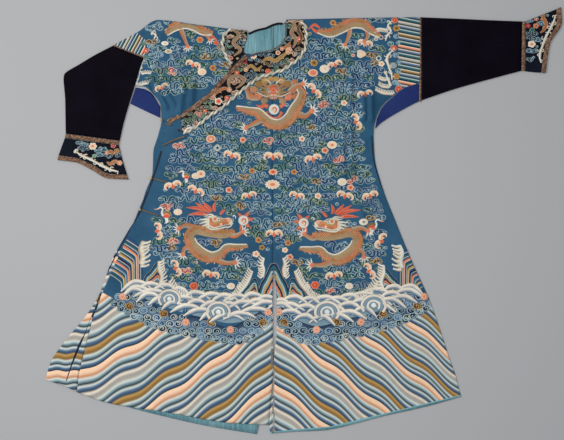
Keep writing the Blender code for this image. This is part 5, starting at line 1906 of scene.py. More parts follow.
COLLAR_DRAGONS = ((((291, 20), (294.5, 26), (291.5, 33), (296, 40), (293, 48)), 2.1, Silk.TAN),
                  (((301, 23), (298, 30), (301.5, 37), (298, 45)), 1.8, Silk.BROWN),
                  (((288, 52), (281.5, 57), (275, 61), (268, 58.5), (261, 63)), 2.1, Silk.GOLD),
                  (((229.5, 90), (229, 81.5), (233, 77), (239, 76.5), (244.5, 79.5), (241, 85), (236, 88.5)),
                   1.9, Silk.TAN), (((213.5, 95.5), (219, 91), (225, 88.5), (231, 92)), 1.7, Silk.ORANGE),
                  (((232, 29), (239, 35), (233.5, 43), (240.5, 50), (234, 56)), 2.0, Silk.TAN),
                  (((246, 70), (251, 66), (257, 70), (262, 66)), 1.7, Silk.GOLD),
                  (((282, 49), (287, 46.5), (290.5, 42)), 1.6, Silk.ORANGE))
COLLAR_BLOOMS = blooms(
    (289, 49.6, 3.2, 6, "PEACH CORAL IVORY"), (299.5, 39.5, 3.4, 6, "CORAL RED PEACH"),
    (253.5, 56.5, 3.4, 5, "CREAM PEACH CORAL"), (243.5, 79, 2.4, 5, "CORAL RED CORAL"),
    (218.5, 101.5, 4.0, 5, "IVORY CORAL RED"), (268, 71.5, 3.0, 6, "CORAL RED CORAL"),
    (237, 73, 2.6, 5, "CORAL RED PEACH"), (227, 98, 2.6, 5, "CORAL RED PEACH"),
    (278, 53, 2.6, 5, "CREAM CORAL RED"), (205, 111, 2.2, 5, "CORAL RED PEACH"),
    (244.5, 61.5, 3.0, 0, "PLUM RED PLUM"),
)
CUFF_BLOOMS = blooms(
    (531.5, 44.3, 4.0, 5, "IVORY PEACH CORAL"), (535.8, 26, 3.2, 5, "ORANGE CORAL TEAL"),
    (532, 30, 2.6, 0, "SAGE TEAL TEAL"), (528, 26, 2.6, 5, "RED PLUM CORAL"),
    (536, 19, 2.6, 5, "CORAL STEEL PEACH"), (93, 146.3, 4.2, 6, "CREAM PEACH CORAL"),
    (113.5, 145.8, 2.8, 5, "CORAL PLUM CORAL"), (117, 151, 3.0, 5, "TAN OCHRE ORANGE"),
    (94.5, 156, 2.4, 5, "SAGE MOSS GREEN"), (84, 156, 2.2, 5, "CORAL PEACH CORAL"),
)
CUFF_DRAGONS = (
    (((544.5, 11), (543, 18), (546, 24), (543.5, 30), (540, 33)), 2.0, Silk.ORANGE),
    (((120, 163), (115, 161.5), (110.5, 164), (107, 162)), 1.9, Silk.COPPER),
    (((107, 153), (111.5, 151.5), (114, 155)), 1.6, Silk.ORANGE),
)
CUFF_FOAM = (
    (((555, 16), (553.5, 22), (550, 29), (545.8, 37), (542, 47), (539.5, 56), (541, 63)),
     (0.6, 1.7, 1.3, 1.6, 1.4, 1.6, 0.8)),
    (((75, 151), (82, 155.5), (90, 159), (97.5, 163), (105, 167), (112, 170), (118.5, 171.5)),
     (0.6, 1.3, 1.6, 1.3, 1.8, 1.5, 0.6)),
)
CUFF_FIELDS = (((526.5, 14), (548, 8), (551, 22), (541, 40), (536, 62), (526.5, 62)),
               ((78, 142), (121, 148), (123, 166), (103, 160), (86, 154), (75, 147)))

# ---------------------------------------------------------------- stripes


def gap_to(points: Points, line: Sequence) -> Points:
    """Distance from each (across, drop) point to a line of straight runs."""
    corners = np.asarray(line, float)
    best = np.full(len(points), np.inf)
    for a, b in zip(corners, corners[1:]):
        run = b - a
        share = np.clip(((points - a) @ run) / max(run @ run, 1e-9), 0, 1)[:, None]
        best = np.minimum(best, np.linalg.norm(points - (a + share * run), axis=1))
    return best


def mask_of(signed: Points) -> Points:
    """A share that crosses one half where the signed distance in millimetres is nothing."""
    return np.clip(0.5 + signed / MASK_RISE, 0.0, 1.0)


def woven(phase: Points, signed: Points, edge: Points | float = 0.0) -> Points:
    """The weave's three painted channels: stripe phase, mask of the stripes and mask of the edge line."""
    return np.column_stack([phase, mask_of(signed), np.broadcast_to(edge, phase.shape)])


def above_line(points: Points, line: Sequence) -> Points:
    """How far below a line across the cloth each point lies."""
    corners = np.asarray(line, float)
    corners = corners[np.argsort(corners[:, 0])]
    return points[:, 1] - np.interp(points[:, 0], corners[:, 0], corners[:, 1])


def hem_phase(across: Points, drop: Points) -> Points:
    """Stripe phase of the slanting hem stripes, in whole repeats, which are wider on the wearer's right."""
    reach = np.abs(across)
    wave = 7.0 * np.sin(reach / 150.0 * 2 * math.pi + 1.6)
    left = np.interp(drop - 0.80 * reach - wave, CORAL_STRIPES, range(len(CORAL_STRIPES)))
    right = (drop - 0.90 * reach + 0.00035 * reach**2 - wave - 1017.0) / HEM_REPEAT
    return np.where(across > 0, left, right) + 0.5 / STRIPES


def level_phase(across: Points, drop: Points) -> Points:
    """Stripe phase where the stripes run level, on the right side strip."""
    wave = 2.5 * np.sin(across / 60.0 * 2 * math.pi)
    return (drop - wave - 1219.0) / STRIPE_REPEAT + 0.5 / STRIPES


def left_front_weave(points: Points) -> Points:
    """Stripes of the left front: its hem, and the end of its upper sleeve."""
    flat = points[:, :2]
    across, drop = flat.T
    chart_y = drop / CHART_STEP + CHART_TOP - 0.2 * (across - LEFT_SLEEVE_END) / CHART_STEP
    sleeve = (chart_y - 46.3) / 35.6 + 0.5 / STRIPES + SLEEVE_PHASE
    at_sleeve = (drop < SLEEVE_FOOT) & (across > 380)
    phase = np.where(at_sleeve, sleeve, hem_phase(across, drop))
    signed = np.where(at_sleeve, across - LEFT_SLEEVE_END, above_line(flat, on_chart(LEFT_STRIPES_FROM)))
    return woven(phase, signed, mask_of(above_line(flat, FRONT_LEFT_HEM) + EDGE_LINE))


def overlap_weave(points: Points) -> Points:
    """Stripes of the overlap's hem."""
    flat = points[:, :2]
    return woven(hem_phase(*flat.T), above_line(flat, on_chart(RIGHT_STRIPES_FROM)))


def side_weave(points: Points) -> Points:
    """Level stripes of the right side strip, and those of the right sleeve's bent end."""
    flat = points[:, :2]
    chart = flat / CHART_STEP + (CHART_MIDDLE, CHART_TOP)
    patch = on_chart(RIGHT_SLEEVE_STRIPES)
    distance = gap_to(flat, [*patch, patch[0]])
    signed = np.where(inside(flat, patch), distance, -distance)
    at_sleeve = flat[:, 1] < SLEEVE_FOOT
    along = (0.88 * chart[:, 0] + 0.476 * chart[:, 1] - 121.0) / 28.0 + SLEEVE_PHASE
    phase = np.where(at_sleeve, along, level_phase(*flat.T))
    return woven(phase, np.where(at_sleeve, signed, flat[:, 1] - SIDE_STRIPES_FROM))


def back_weave(points: Points) -> Points:
    """Stripes of a back's hem."""
    across, drop = points[:, :2].T
    return woven(hem_phase(across, drop), drop - 960.0 - 60.0 * np.cos(across / 210.0))


# ---------------------------------------------------------------- the robe's parts


@dataclass
class RobeBody:
    """Backs, linings, fronts, overlap, gore and gussets."""

    silk: Material
    lining: Material
    gusset: Material
    made: dict = field(default_factory=dict)

    def build(self) -> dict:
        """Make every piece of the body and return the panels by name."""
        left = Edge(TURN_STEPS, folds_from=GUSSET_LEFT[-1].second[1])
        right = Edge(TURN_STEPS, folds_from=GUSSET_RIGHT[-1].second[1])
        halves = (("left", BACK_LEFT), ("right", BACK_RIGHT))
        for side, rows in halves:
            back = Panel(f"back_{side}", rows, level_height(BACK_MID), "robe_silk", pitch=12,
                         weave=back_weave, rests_on=("studio_floor",))
            self.add(back, self.silk)
        for side, rows in halves:
            lining = Panel(f"lining_{side}", rows, level_height(LINING_MID), "lining_silk", wall=LINING_WALL,
                           pitch=16, rests_on=(f"back_{side}_cloth",))
            self.add(lining, self.lining)
        fronts = (
            Panel("front_under", FRONT_UNDER, under_height, "robe_silk", pitch=6, first=right,
                  folded_top=True, top=TURN_STEPS, weave=side_weave, rests_on=("lining_right_cloth",)),
            Panel("front_left", FRONT_LEFT, front_height, "robe_silk", pitch=6, second=left,
                  folded_top=True, top=TURN_STEPS, weave=left_front_weave, rests_on=("lining_left_cloth",)),
            Panel("front_overlap", FRONT_OVERLAP, front_height, "robe_silk", second=Edge(LAP_STEPS),
                  weave=overlap_weave),
            Panel("overlap_gore", OVERLAP_GORE, front_height, "robe_silk", weave=side_weave),
        )
        for panel in fronts:
            self.add(panel, self.silk)
        FoldedGusset("gusset_left", GUSSET_LEFT).build(self.gusset)
        FoldedGusset("gusset_right", GUSSET_RIGHT).build(self.gusset)
        return self.made

    def add(self, panel: Panel, material: Material) -> None:
        """Make one panel and keep it by its name."""
        panel.build(material)
        self.made[panel.node] = panel


@dataclass
class Sleeves:
    """Lower sleeves, pipings, brocade bands, cuffs and cuff bindings."""

    dark: Material
    black: Material
    brocade: Material
    made: dict = field(default_factory=dict)

    def build(self) -> dict:
        """Make every piece of the sleeves and return the tubes by name."""
        sides = (
            ("left", SLEEVE_LEFT, SLEEVE_PIPING_LEFT, CUFF_BAND_LEFT, CUFF_LEFT, CUFF_BINDING_LEFT,
             LEFT_SLEEVE_FOLDS),
            ("right", SLEEVE_RIGHT, SLEEVE_PIPING_RIGHT, CUFF_BAND_RIGHT, CUFF_RIGHT, CUFF_BINDING_RIGHT,
             RIGHT_SLEEVE_FOLDS),
        )
        for side, sleeve, piping, band, cuff, binding, folds in sides:
            lower = PressedTube(f"sleeve_{side}", sleeve, SLEEVE_THICK, "sleeve_silk", creases=folds)
            edge = PressedTube(f"sleeve_piping_{side}", piping, PIPING_THICK, "brocade", pitch=4)
            strip = PressedTube(f"cuff_band_{side}", band, SLEEVE_THICK, "brocade", pitch=6)
            hoof = PressedTube(f"cuff_{side}", cuff, CUFF_THICK, "trim_black", pitch=7)
            rim = PressedTube(f"cuff_binding_{side}", binding, CUFF_THICK, "brocade", pitch=6)
            tubes = ((lower, self.dark), (edge, self.brocade), (strip, self.brocade), (hoof, self.black),
                     (rim, self.brocade))
            for tube, material in tubes:
                tube.build(material)
                self.made[tube.node] = tube
        return self.made


def tube_object(name: str, tubes: Sequence[Points]) -> Object:
    """One mesh of several tubes alike, each given as a closed ring of points at every step."""
    lines, around = tubes[0].shape[:2]
    faces = [grid_faces(lines, around, closed=True) + index * lines * around for index in range(len(tubes))]
    return mesh_object(name, placed(np.concatenate(tubes)), np.vstack(faces))


@dataclass
class Rope:
    """A two-ply twisted silk rope couched along the outer edge of a collar facing."""

    node: str
    line: Sequence
    height: Height
    ply: float = 54.0
    spread: float = 3.2
    radius: float = 3.5
    # Colour of the painted shade on a strand where it dips under the other.
    shade: tuple = (0.16, 0.19, 0.19)

    def build(self, material: Material) -> None:
        """Make both strands as one mesh, with painted shade where one dips under the other."""
        path = np.array(self.line, float)
        knots = lengths_along(path)
        steps = round(knots[-1] / 1.1)
        centre = curve_at(knots, path, np.linspace(1.5, knots[-1] - 1.5, steps))
        side = headings(centre)[1]
        base = self.height(*centre.T) - TRIM_WALL / 2 + self.radius / 2
        turns = lengths_along(centre) / self.ply * 2 * math.pi
        cream, shade = np.array(Silk.CREAM.value), np.array(self.shade)
        strands, silks = [], []
        for start in (0.0, math.pi):
            twist = turns + start
            middle = centre + side * (np.cos(twist) * self.spread)[:, None]
            level = base + np.sin(twist) * 0.75
            girth = self.radius * (0.95 + 0.05 * np.cos(2 * twist))
            strands.append(np.stack([
                np.column_stack([middle + side * (math.cos(a) * girth)[:, None], level + math.sin(a) * 1.25])
                for a in CORD_ANGLES
            ], axis=1))
            # Painted shade: a strand turns from cream towards the shade colour as it dips under the other.
            fleck = 0.5 + 0.5 * np.sin(turns * 2 + start)
            high = np.clip((np.sin(twist) + 0.9) / 1.3, 0, 1)
            mix = np.clip(high * (0.55 + 0.45 * fleck), 0, 1)[:, None]
            silks.append(np.repeat(shade + (cream - shade) * mix, len(CORD_ANGLES), axis=0))
        piece = tube_object(f"{self.node}_strands", strands)
        paint(piece, "silk", np.concatenate(silks))
        carry(piece, "rope_silk", material, (self.node,))


@dataclass
class Collar:
    """Collar facings, bindings and couched ropes."""

    black: Material
    brocade: Material
    rope: Material
    made: dict = field(default_factory=dict)

    def build(self) -> dict:
        """Make every piece of the collar and return the panels by name."""
        on_front, on_under = raised(front_height, 1), raised(under_height, 1)
        for panel in (
            Panel("collar_neck", COLLAR_NECK, on_under, "trim_black", wall=TRIM_WALL, pitch=5),
            Panel("collar_overlap", COLLAR_OVERLAP, on_front, "trim_black", wall=TRIM_WALL, pitch=5,
                  rests_on=("front_left_cloth", "front_overlap_cloth")),
        ):
            panel.build(self.black)
            self.made[panel.node] = panel
        Ribbon("overlap_binding", OVERLAP_BINDING_LINE, 15.0, on_front, "brocade",
               shift=-3.0).build(self.brocade)
        Ribbon("neck_binding", NECK_BINDING_LINE, 3.4, on_front, "brocade").build(self.brocade)
        Ribbon("back_neck_binding", BACK_NECK_LINE, 6.8, raised(level_height(LINING_MID), 1),
               "trim_black").build(self.black)
        Rope("rope_neck", ROPE_NECK_LINE, raised(under_height, 2)).build(self.rope)
        Rope("rope_overlap", ROPE_OVERLAP_LINE, raised(front_height, 2)).build(self.rope)
        return self.made


@dataclass
class Loop:
    """A doubled silk cord sewn at both its ends, drawn round a button."""

    node: str
    path: Sequence

    def build(self, material: Material) -> None:
        """Make the loop's two cords side by side as one mesh."""
        route = flowing(self.path, 1.6)
        flat, level = route[:, :2], route[:, 2]
        side = headings(flat)[1]
        cords = [
            np.stack([np.column_stack([flat + side * (aside + 1.3 * math.cos(a)), level + 1.5 * math.sin(a)])
                      for a in CORD_ANGLES], axis=1)
            for aside in (-1.25, 1.25)
        ]
        carry(tube_object(f"{self.node}_cord", cords), "brocade", material, (self.node,))


class ButtonKind(Enum):
    """How a button is made: its slot and radius in millimetres."""

    KNOT = ("dark_knot", 4.2)
    BALL = ("brass", 4.6)


# Buttons, as their middle in (across, drop, height), and their kind.
BUTTONS = (
    ("button_neck", (-98.5, 156.5, 13.0), ButtonKind.KNOT),
    ("button_corner", (-379, 356, 9.0), ButtonKind.BALL),
    ("button_band_end", (-321, 391, 12.0), ButtonKind.KNOT),
    ("button_side_upper", (-415, 553.5, 12.4), ButtonKind.BALL),
    ("button_side_lower", (-452, 660, 12.4), ButtonKind.BALL),
)


@dataclass
class RoundButton:
    """A ball button of gilt brass or a knot of silk cord."""

    node: str
    centre: tuple
    kind: ButtonKind

    @staticmethod
    def ball(radius: float) -> tuple:
        """Points and faces of a slightly fluted ball."""
        rings, around = 20, 28
        a = math.pi * np.arange(rings + 1)[:, None] / rings
        b = 2 * math.pi * np.arange(around)[None] / around
        girth = np.sin(a) * radius * (1 + 0.045 * np.cos(9 * b) * np.sin(a))
        level = np.broadcast_to(np.cos(a) * radius * 0.95, girth.shape)
        return np.dstack([girth * np.cos(b), girth * np.sin(b), level]), grid_faces(rings + 1, around,
            closed=True)

    @staticmethod
    def knot(radius: float) -> tuple:
        """Points and faces of a cord wound over itself into a ball."""
        t = np.linspace(0, 2 * math.pi, 160, endpoint=False)
        core = np.stack([np.cos(3 * t) * np.cos(2 * t), np.cos(3 * t) * np.sin(2 * t), np.sin(3 * t)], axis=1)
        core *= radius - 1.1
        ahead = np.roll(core, -1, axis=0) - np.roll(core, 1, axis=0)
        ahead /= np.linalg.norm(ahead, axis=1)[:, None]
        out = core / np.maximum(np.linalg.norm(core, axis=1), 1e-6)[:, None]
        other = np.cross(ahead, out)
        cord = np.stack([core + (np.cos(a) * out + np.sin(a) * other) * 1.15 for a in CORD_ANGLES], axis=1)
        index = np.arange(cord.shape[0] * cord.shape[1]).reshape(cord.shape[:2])
        last = np.stack([index[-1], np.roll(index[-1], -1), np.roll(index[0], -1), index[0]], axis=-1)
        return cord, np.vstack([grid_faces(*cord.shape[:2], closed=True), last])

    def build(self, material: Material) -> None:
        """Make the button."""
        slot, radius = self.kind.value
        points, faces = self.ball(radius) if self.kind is ButtonKind.BALL else self.knot(radius)
        middle = placed(np.array([self.centre]))[0]
        carry(mesh_object(f"{self.node}_made", points * MM + middle, faces), slot, material, (self.node,))


# ---------------------------------------------------------------- studio


@dataclass
class Studio:
    """The pale surface the robe lies on, its light and the camera."""

    centre: tuple = (-0.0726, 0.0033)
    height: float = 4.528
    lens: float = 85.0
    sensor: float = 36.0
    sees_to: float = 20.0
    aim: tuple = (-0.07, 0.0, 0.0)
    floor_half: float = 4.0
    floor_level: float = -0.0004
    sky: tuple = (0.93, 0.97, 1.0, 1.0)
    sky_strength: float = 0.46

    def build(self) -> None:
        """Make the floor, lights and camera."""
        mesh = bpy.data.meshes.new("studio_floor")
        corners = [(x * self.floor_half, y * self.floor_half, self.floor_level)
                   for x, y in ((-1, -1), (1, -1), (1, 1), (-1, 1))]
        mesh.from_pydata(corners, [], [(0, 1, 2, 3)])
        floor = bpy.data.objects.new("studio_floor", mesh)
        floor.data.materials.append(Ground().build())
        bpy.context.scene.collection.objects.link(floor)
        world = bpy.data.worlds.new("studio")
        world.use_nodes = True
        world.node_tree.nodes["Background"].inputs["Color"].default_value = self.sky
        world.node_tree.nodes["Background"].inputs["Strength"].default_value = self.sky_strength
        bpy.context.scene.world = world
        self.light("key", (-4.9, 2.0, 3.9), 2.4, 205.0, (1.0, 0.985, 0.965))
        self.light("overhead", (-0.4, 0.1, 2.4), 0.9, 17.0, (1.0, 0.995, 0.985))
        data = bpy.data.cameras.new("camera")
        data.type = "PERSP"
        data.lens = self.lens
        data.sensor_width = self.sensor
        data.clip_end = self.sees_to
        camera = bpy.data.objects.new("camera", data)
        camera.location = (*self.centre, self.height)
        bpy.context.scene.collection.objects.link(camera)
        bpy.context.scene.camera = camera
        bpy.context.scene.view_settings.view_transform = "Standard"

    def light(self, name: str, place: tuple, size: float, power: float, colour: tuple) -> None:
        """Make one soft square light aimed at the middle of the robe."""
        data = bpy.data.lights.new(name, "AREA")
        data.shape = "SQUARE"
        data.size = size
        data.energy = power
        data.color = colour
        lamp = bpy.data.objects.new(name, data)
        lamp.location = place
        aim = Vector(self.aim) - Vector(place)
        lamp.visible_camera = False
        lamp.rotation_mode = "QUATERNION"
        lamp.rotation_quaternion = aim.to_track_quat("-Z", "Y")
        bpy.context.scene.collection.objects.link(lamp)


# ---------------------------------------------------------------- the robe's embroidery

WAVE_SECTION = strands("NAVY STEEL MIST LILAC LINEN IVORY CREAM BROWN", (-1.0, 0.1), (-0.86, 0.5),
                       (-0.5, 0.85), (-0.25, 1.0), (0.05, 1.1), (0.5, 0.95), (0.8, 0.6), (1.0, 0.1))


def mirrored(points: Sequence) -> Points:
    """Places on the other half of the chart."""
    p = np.array(points, float)
    p[..., 0] = 2 * CHART_MIDDLE - p[..., 0]
    return p


def both_halves(points: Sequence) -> list:
    """The places on the left half of the chart and their like on the right half."""
    return [np.asarray(points, float), mirrored(points)]


def spiral(work: Needlework, shape: tuple, rng: np.random.Generator, lift: float = 0.0) -> None:
    """Work a round knob of cloud with a spiral line: place, radius, ground and line threads."""
    x, y, radius, silk, line = shape
    turn, way = rng.uniform(0, 6.3), 1 if rng.random() < 0.5 else -1
    rings = ((1, 0.12, Silk.INK), (0.9, 0.4, line), (0.8, 0.42, line), (0.72, 0.32, silk), (0, 0.4, silk))
    work.disc((x, y), radius, rings, lift + 0.12, squash=0.82)
    section = (Strand(-1, 0.1, line), Strand(0, 0.4, line), Strand(1, 0.1, line))
    work.whirl((x, y), radius * 0.56, 1.15, 0.42, section, turn, way, lift + 0.5, squash=0.82, step=0.6)


FOAM = strands("TAN STONE LINEN IVORY ICE", (-1, 0.2), (-0.6, 0.7), (-0.1, 0.8), (0.5, 0.75), (1, 0.2))
FOAM_TIP = strands("STONE LINEN IVORY IVORY", (1, 0.3), (0.8, 0.8), (0.3, 0.9), (0, 0.9))


@dataclass
class HemScene:
    """Rocks, foam, rolling waves and the band of spirals over the hem stripes."""

    work: Needlework
    clear: Keepout

    def rock(self, x: float, y: float, half: float, deep: float, lean: float) -> None:
        """Work one rock as nested chevrons from its outline inwards."""
        count = len(ROCK_BANDS)
        for index, silk in enumerate(ROCK_BANDS):
            share = 1 - index / count
            width, rise = half * share, deep * share
            foot = y + deep
            path = [(x - width, foot), (x - width * 0.74, foot - rise * 0.42),
                    (x - width * 0.5 + lean * 0.5, foot - rise * 0.62),
                    (x - width * 0.16 + lean, foot - rise * 0.97), (x + lean, foot - rise),
                    (x + width * 0.16 + lean, foot - rise * 0.97),
                    (x + width * 0.5 + lean * 0.5, foot - rise * 0.62),
                    (x + width * 0.74, foot - rise * 0.42), (x + width, foot)]
            pale = Silk.IVORY if index % 2 == 0 else silk
            self.work.band(path, max(half / count * 0.62, 0.7),
                           (Strand(-1, 0.2, pale), Strand(-0.7, 0.5, silk), Strand(0.4, 0.5, silk),
                            Strand(1, 0.2, Silk.NAVY)), 0.12 + 0.03 * index, 0.9)
        self.clear.along([(x, y), (x, y + deep)], half * 0.75)
        self.clear.along([(x - half * 0.7, y + deep * 0.7), (x + half * 0.7, y + deep * 0.7)], 4.0)

    def side_rock(self, corner: tuple, way: int, rise: float) -> None:
        """Work the tall rock cut by the side seam: nested bands that slant in, then drop by an upright edge.

        Args:
            corner: place where the outermost band turns down.
            way: 1 on the left half and -1 on the right one.
            rise: how steeply the bands slant.
        """
        x, y = corner
        silks = (Silk.ROYAL, Silk.TEAL, Silk.CORAL, Silk.TEAL, Silk.GOLD, Silk.NAVY, Silk.CORAL, Silk.SKY,
                 Silk.GOLD, Silk.TEAL)
        foot = y + 37
        for index, silk in enumerate(silks):
            turn = (x + way * index * 2.1, y + index * 3.7)
            path = [(turn[0] + way * 36, turn[1] - 36 * rise), (turn[0] + way * 20, turn[1] - 20 * rise),
                    (turn[0] + way * 6, turn[1] - 6 * rise), (turn[0] + way * 0.8, turn[1] + 0.5),
                    (turn[0], turn[1] + 5), (turn[0] - way * 0.2, max(foot - 6, turn[1] + 7)),
                    (turn[0] - way * 0.2, max(foot, turn[1] + 9))]
            section = [Strand(-1, 0.25, Silk.NAVY), Strand(-0.5, 0.5, silk), Strand(0.5, 0.55, silk),
                       Strand(0.75, 0.5, Silk.LINEN), Strand(1, 0.25, Silk.LINEN)]
            self.work.band(path, (1.9, 1.9, 1.8, 1.4, 1.1, 1.1, 1.1),
                           flipped(section) if way > 0 else section, 0.15 + 0.02 * index, 0.9)
        self.clear.along([(x + way * 12, y - 8), (x, y + 2), (x, y + 40)], 3.5)
        self.clear.along([(x + way * 18, y + 6), (x + way * 18, y + 40)], 14)

    def comb(self, path: Sequence, way: int, reach: float) -> None:
        """Work a comb of foam: a stem with round-tipped fingers on one side.

        Args:
            path: places along the stem, from its foot to its head.
            way: 1 for fingers that point to the stem's right side on the chart, -1 for the other side.
            reach: length of the fingers.
        """
        stem = flowing(path, 0.5 * reach)
        self.work.band(path, (reach * 0.42, reach * 0.36, reach * 0.42, reach * 0.2), FOAM, 0.4)
        for base, ahead, side in zip(stem, *headings(stem)):
            out = side * way
            tip = base + out * reach + ahead * 0.16 * reach
            width = 0.17 * reach
            back = ahead * 0.2 * reach
            self.work.band([base - back, (base + tip) / 2 - back, tip],
                           (width * 1.5, width * 1.1, width * 0.6), FOAM, 0.55, 0.7)
            self.work.disc(tip - out * 0.3, width * 0.82, FOAM_TIP, 0.6)
        self.clear.along(stem, 5.0)

    def whirl(self, x: float, y: float, radius: float, way: int) -> None:
        """Work a half-round whirlpool of nested padded rings."""
        rings = ((0.9, 0.13, Silk.LINEN, Silk.STEEL), (0.66, 0.11, Silk.MIST, Silk.STEEL),
                 (0.44, 0.11, Silk.IVORY, Silk.STEEL), (0.26, 0.09, Silk.MIST, Silk.STEEL))
        for index, (share, half, silk, rim) in enumerate(rings):
            angles = np.radians(np.linspace(-215, 40, 14))
            ring = np.stack([x + way * np.cos(angles) * radius * share,
                             y + np.sin(angles) * radius * share * 0.86], 1)
            section = (Strand(-1, 0.3, rim), Strand(-0.5, 0.9, silk), Strand(0.5, 0.9, silk),
                       Strand(0.85, 0.5, rim), Strand(1, 0.3, Silk.STEEL))
            self.work.band(ring, radius * half, section, 1.2 + index * 0.1, 0.9)
        eye = strands("LINEN WHITE WHITE", (1, 0.6), (0.7, 1.1), (0, 1.1))
        self.work.disc((x, y - 0.5), radius * 0.2, eye, 1.6)

    def waves(self) -> None:
        """Work rows of rolling waves on both halves, each row in front of the one above it."""
        rng = np.random.default_rng(WAVE_SEED)
        shares = np.linspace(0, 1, 60)
        left = np.array(WAVES_TOP, float), np.array(WAVES_FOOT, float)
        right = tuple(mirrored(line) + (0, -3.0) for line in left)
        for way, (top, foot) in ((1, left), (-1, right)):
            self.strip_between(flowing(top, 3.0), flowing(foot, 3.0), Silk.MIST, Silk.STEEL, 0.15)
            upper = curve_at(np.linspace(0, 1, len(top)), top, shares)
            lower = curve_at(np.linspace(0, 1, len(foot)), foot, shares)
            for row in range(3):
                line = upper + (lower - upper) * ((row + 0.3) / 3)
                along = lengths_along(line)
                place = 2.0 + (row % 2) * 9.0
                while place < along[-1] - 4:
                    x, y = (np.interp(place, along, line[:, axis]) for axis in (0, 1))
                    self.arc(x, y + rng.uniform(-0.8, 0.8), rng.uniform(22, 36), rng.uniform(4.6, 7.4), way,
                             row)
                    place += rng.uniform(12.0, 17.5)
                if row == 1:
                    for x, y, radius in WHIRLS[way]:
                        self.whirl(x, y, radius, way)

    def arc(self, x: float, y: float, wide: float, high: float, way: int, row: int) -> None:
        """Work one breaking wave: a padded crescent, pale along its crest and blue beneath."""
        path = np.array([(x - wide / 2 * way, y + high * 0.55), (x - wide / 4 * way, y - high * 0.25),
                         (x + wide * 0.05 * way, y - high * 0.45), (x + wide / 4 * way, y),
                         (x + wide / 2 * way, y + high * 0.9)])
        section = WAVE_SECTION if way < 0 else flipped(WAVE_SECTION)
        self.work.band(path, (0.8, 2.3, 3.1, 2.7, 0.8), section, 0.3 + 0.3 * row, 0.9)

    def strip_between(self, upper: Points, lower: Points, edge: Silk, core: Silk, lift: float) -> None:
        """Fill the strip between two lines."""
        count = max(len(upper), len(lower))
        share = np.linspace(0, 1, count)
        a = curve_at(np.linspace(0, 1, len(upper)), upper, share)
        b = curve_at(np.linspace(0, 1, len(lower)), lower, share)
        across = np.linspace(0, 1, 9)
        points = a[:, None] + (b - a)[:, None] * across[None, :, None]
        lifts = np.broadcast_to(lift * np.clip(8 * across * (1 - across), 0, 1), points.shape[:2])
        mix = np.abs(across * 2 - 1)[None, :, None]
        silk = np.array(core.value) + (np.array(edge.value) - np.array(core.value)) * mix
        self.work.add(points, lifts, np.broadcast_to(silk, (*points.shape[:2], 3)),
                      grid_faces(*points.shape[:2]))

    def spirals(self) -> None:
        """Fill the band between the waves and the stripes with small spirals and coral knobs."""
        rng = np.random.default_rng(SPIRAL_SEED)
        grounds = threads("NAVY INK ROYAL NAVY STEEL")
        lines = threads("ICE ICE PALE_BLUE FROST")
        for outline in both_halves(SPIRAL_BAND):
            top, foot = outline[:SPIRAL_TOP], outline[SPIRAL_TOP:]
            self.strip_between(flowing(top, 4.0), flowing(foot[::-1], 4.0), Silk.NAVY, Silk.STEEL, 0.1)
            low, high = outline.min(axis=0), outline.max(axis=0)
            spots = [tuple(spot) for spot in flowing(foot, 7.6)]
            for row, y in enumerate(np.arange(low[1], high[1], 6.8)):
                spots += [(x, y) for x in np.arange(low[0] + (row % 2) * 4.3, high[0], 8.6)]
            for x, y in spots:
                spot = np.array([x + rng.uniform(-0.7, 0.7), y + rng.uniform(-0.6, 0.6)])
                silk, line = grounds[rng.integers(len(grounds))], lines[rng.integers(len(lines))]
                if inside(spot[None] - (0, 1.5), outline)[0]:
                    spiral(self.work, (*spot, rng.uniform(3.7, 4.7), silk, line), rng)
        for place in GOLD_SPIRALS:
            for spot in both_halves(place):
                spiral(self.work, (*spot, 4.6, Silk.BROWN, Silk.GOLD), rng, 0.3)
        rings = strands("PEACH CORAL PEACH CORAL CORAL", (1, 0.5), (0.75, 1.2), (0.45, 1.3), (0.3, 1.35),
                        (0, 1.4))
        for place in KNOBS:
            for spot in both_halves(place):
                self.work.disc(spot, 3.7, rings, 0.6, 8, 0.08)

    def build(self) -> None:
        """Work the whole scene."""
        for corner, way, rise in SIDE_ROCKS:
            self.side_rock(corner, way, rise)
        for rock in ROCKS:
            self.rock(*rock)
        for path, way, reach in COMBS:
            self.comb(path, way, reach)
            self.comb(mirrored(path) + ((-4.5, 4.0) if path[0][0] < 165 else (0.0, 0.0)), -way, reach)
        self.waves()
        self.spirals()


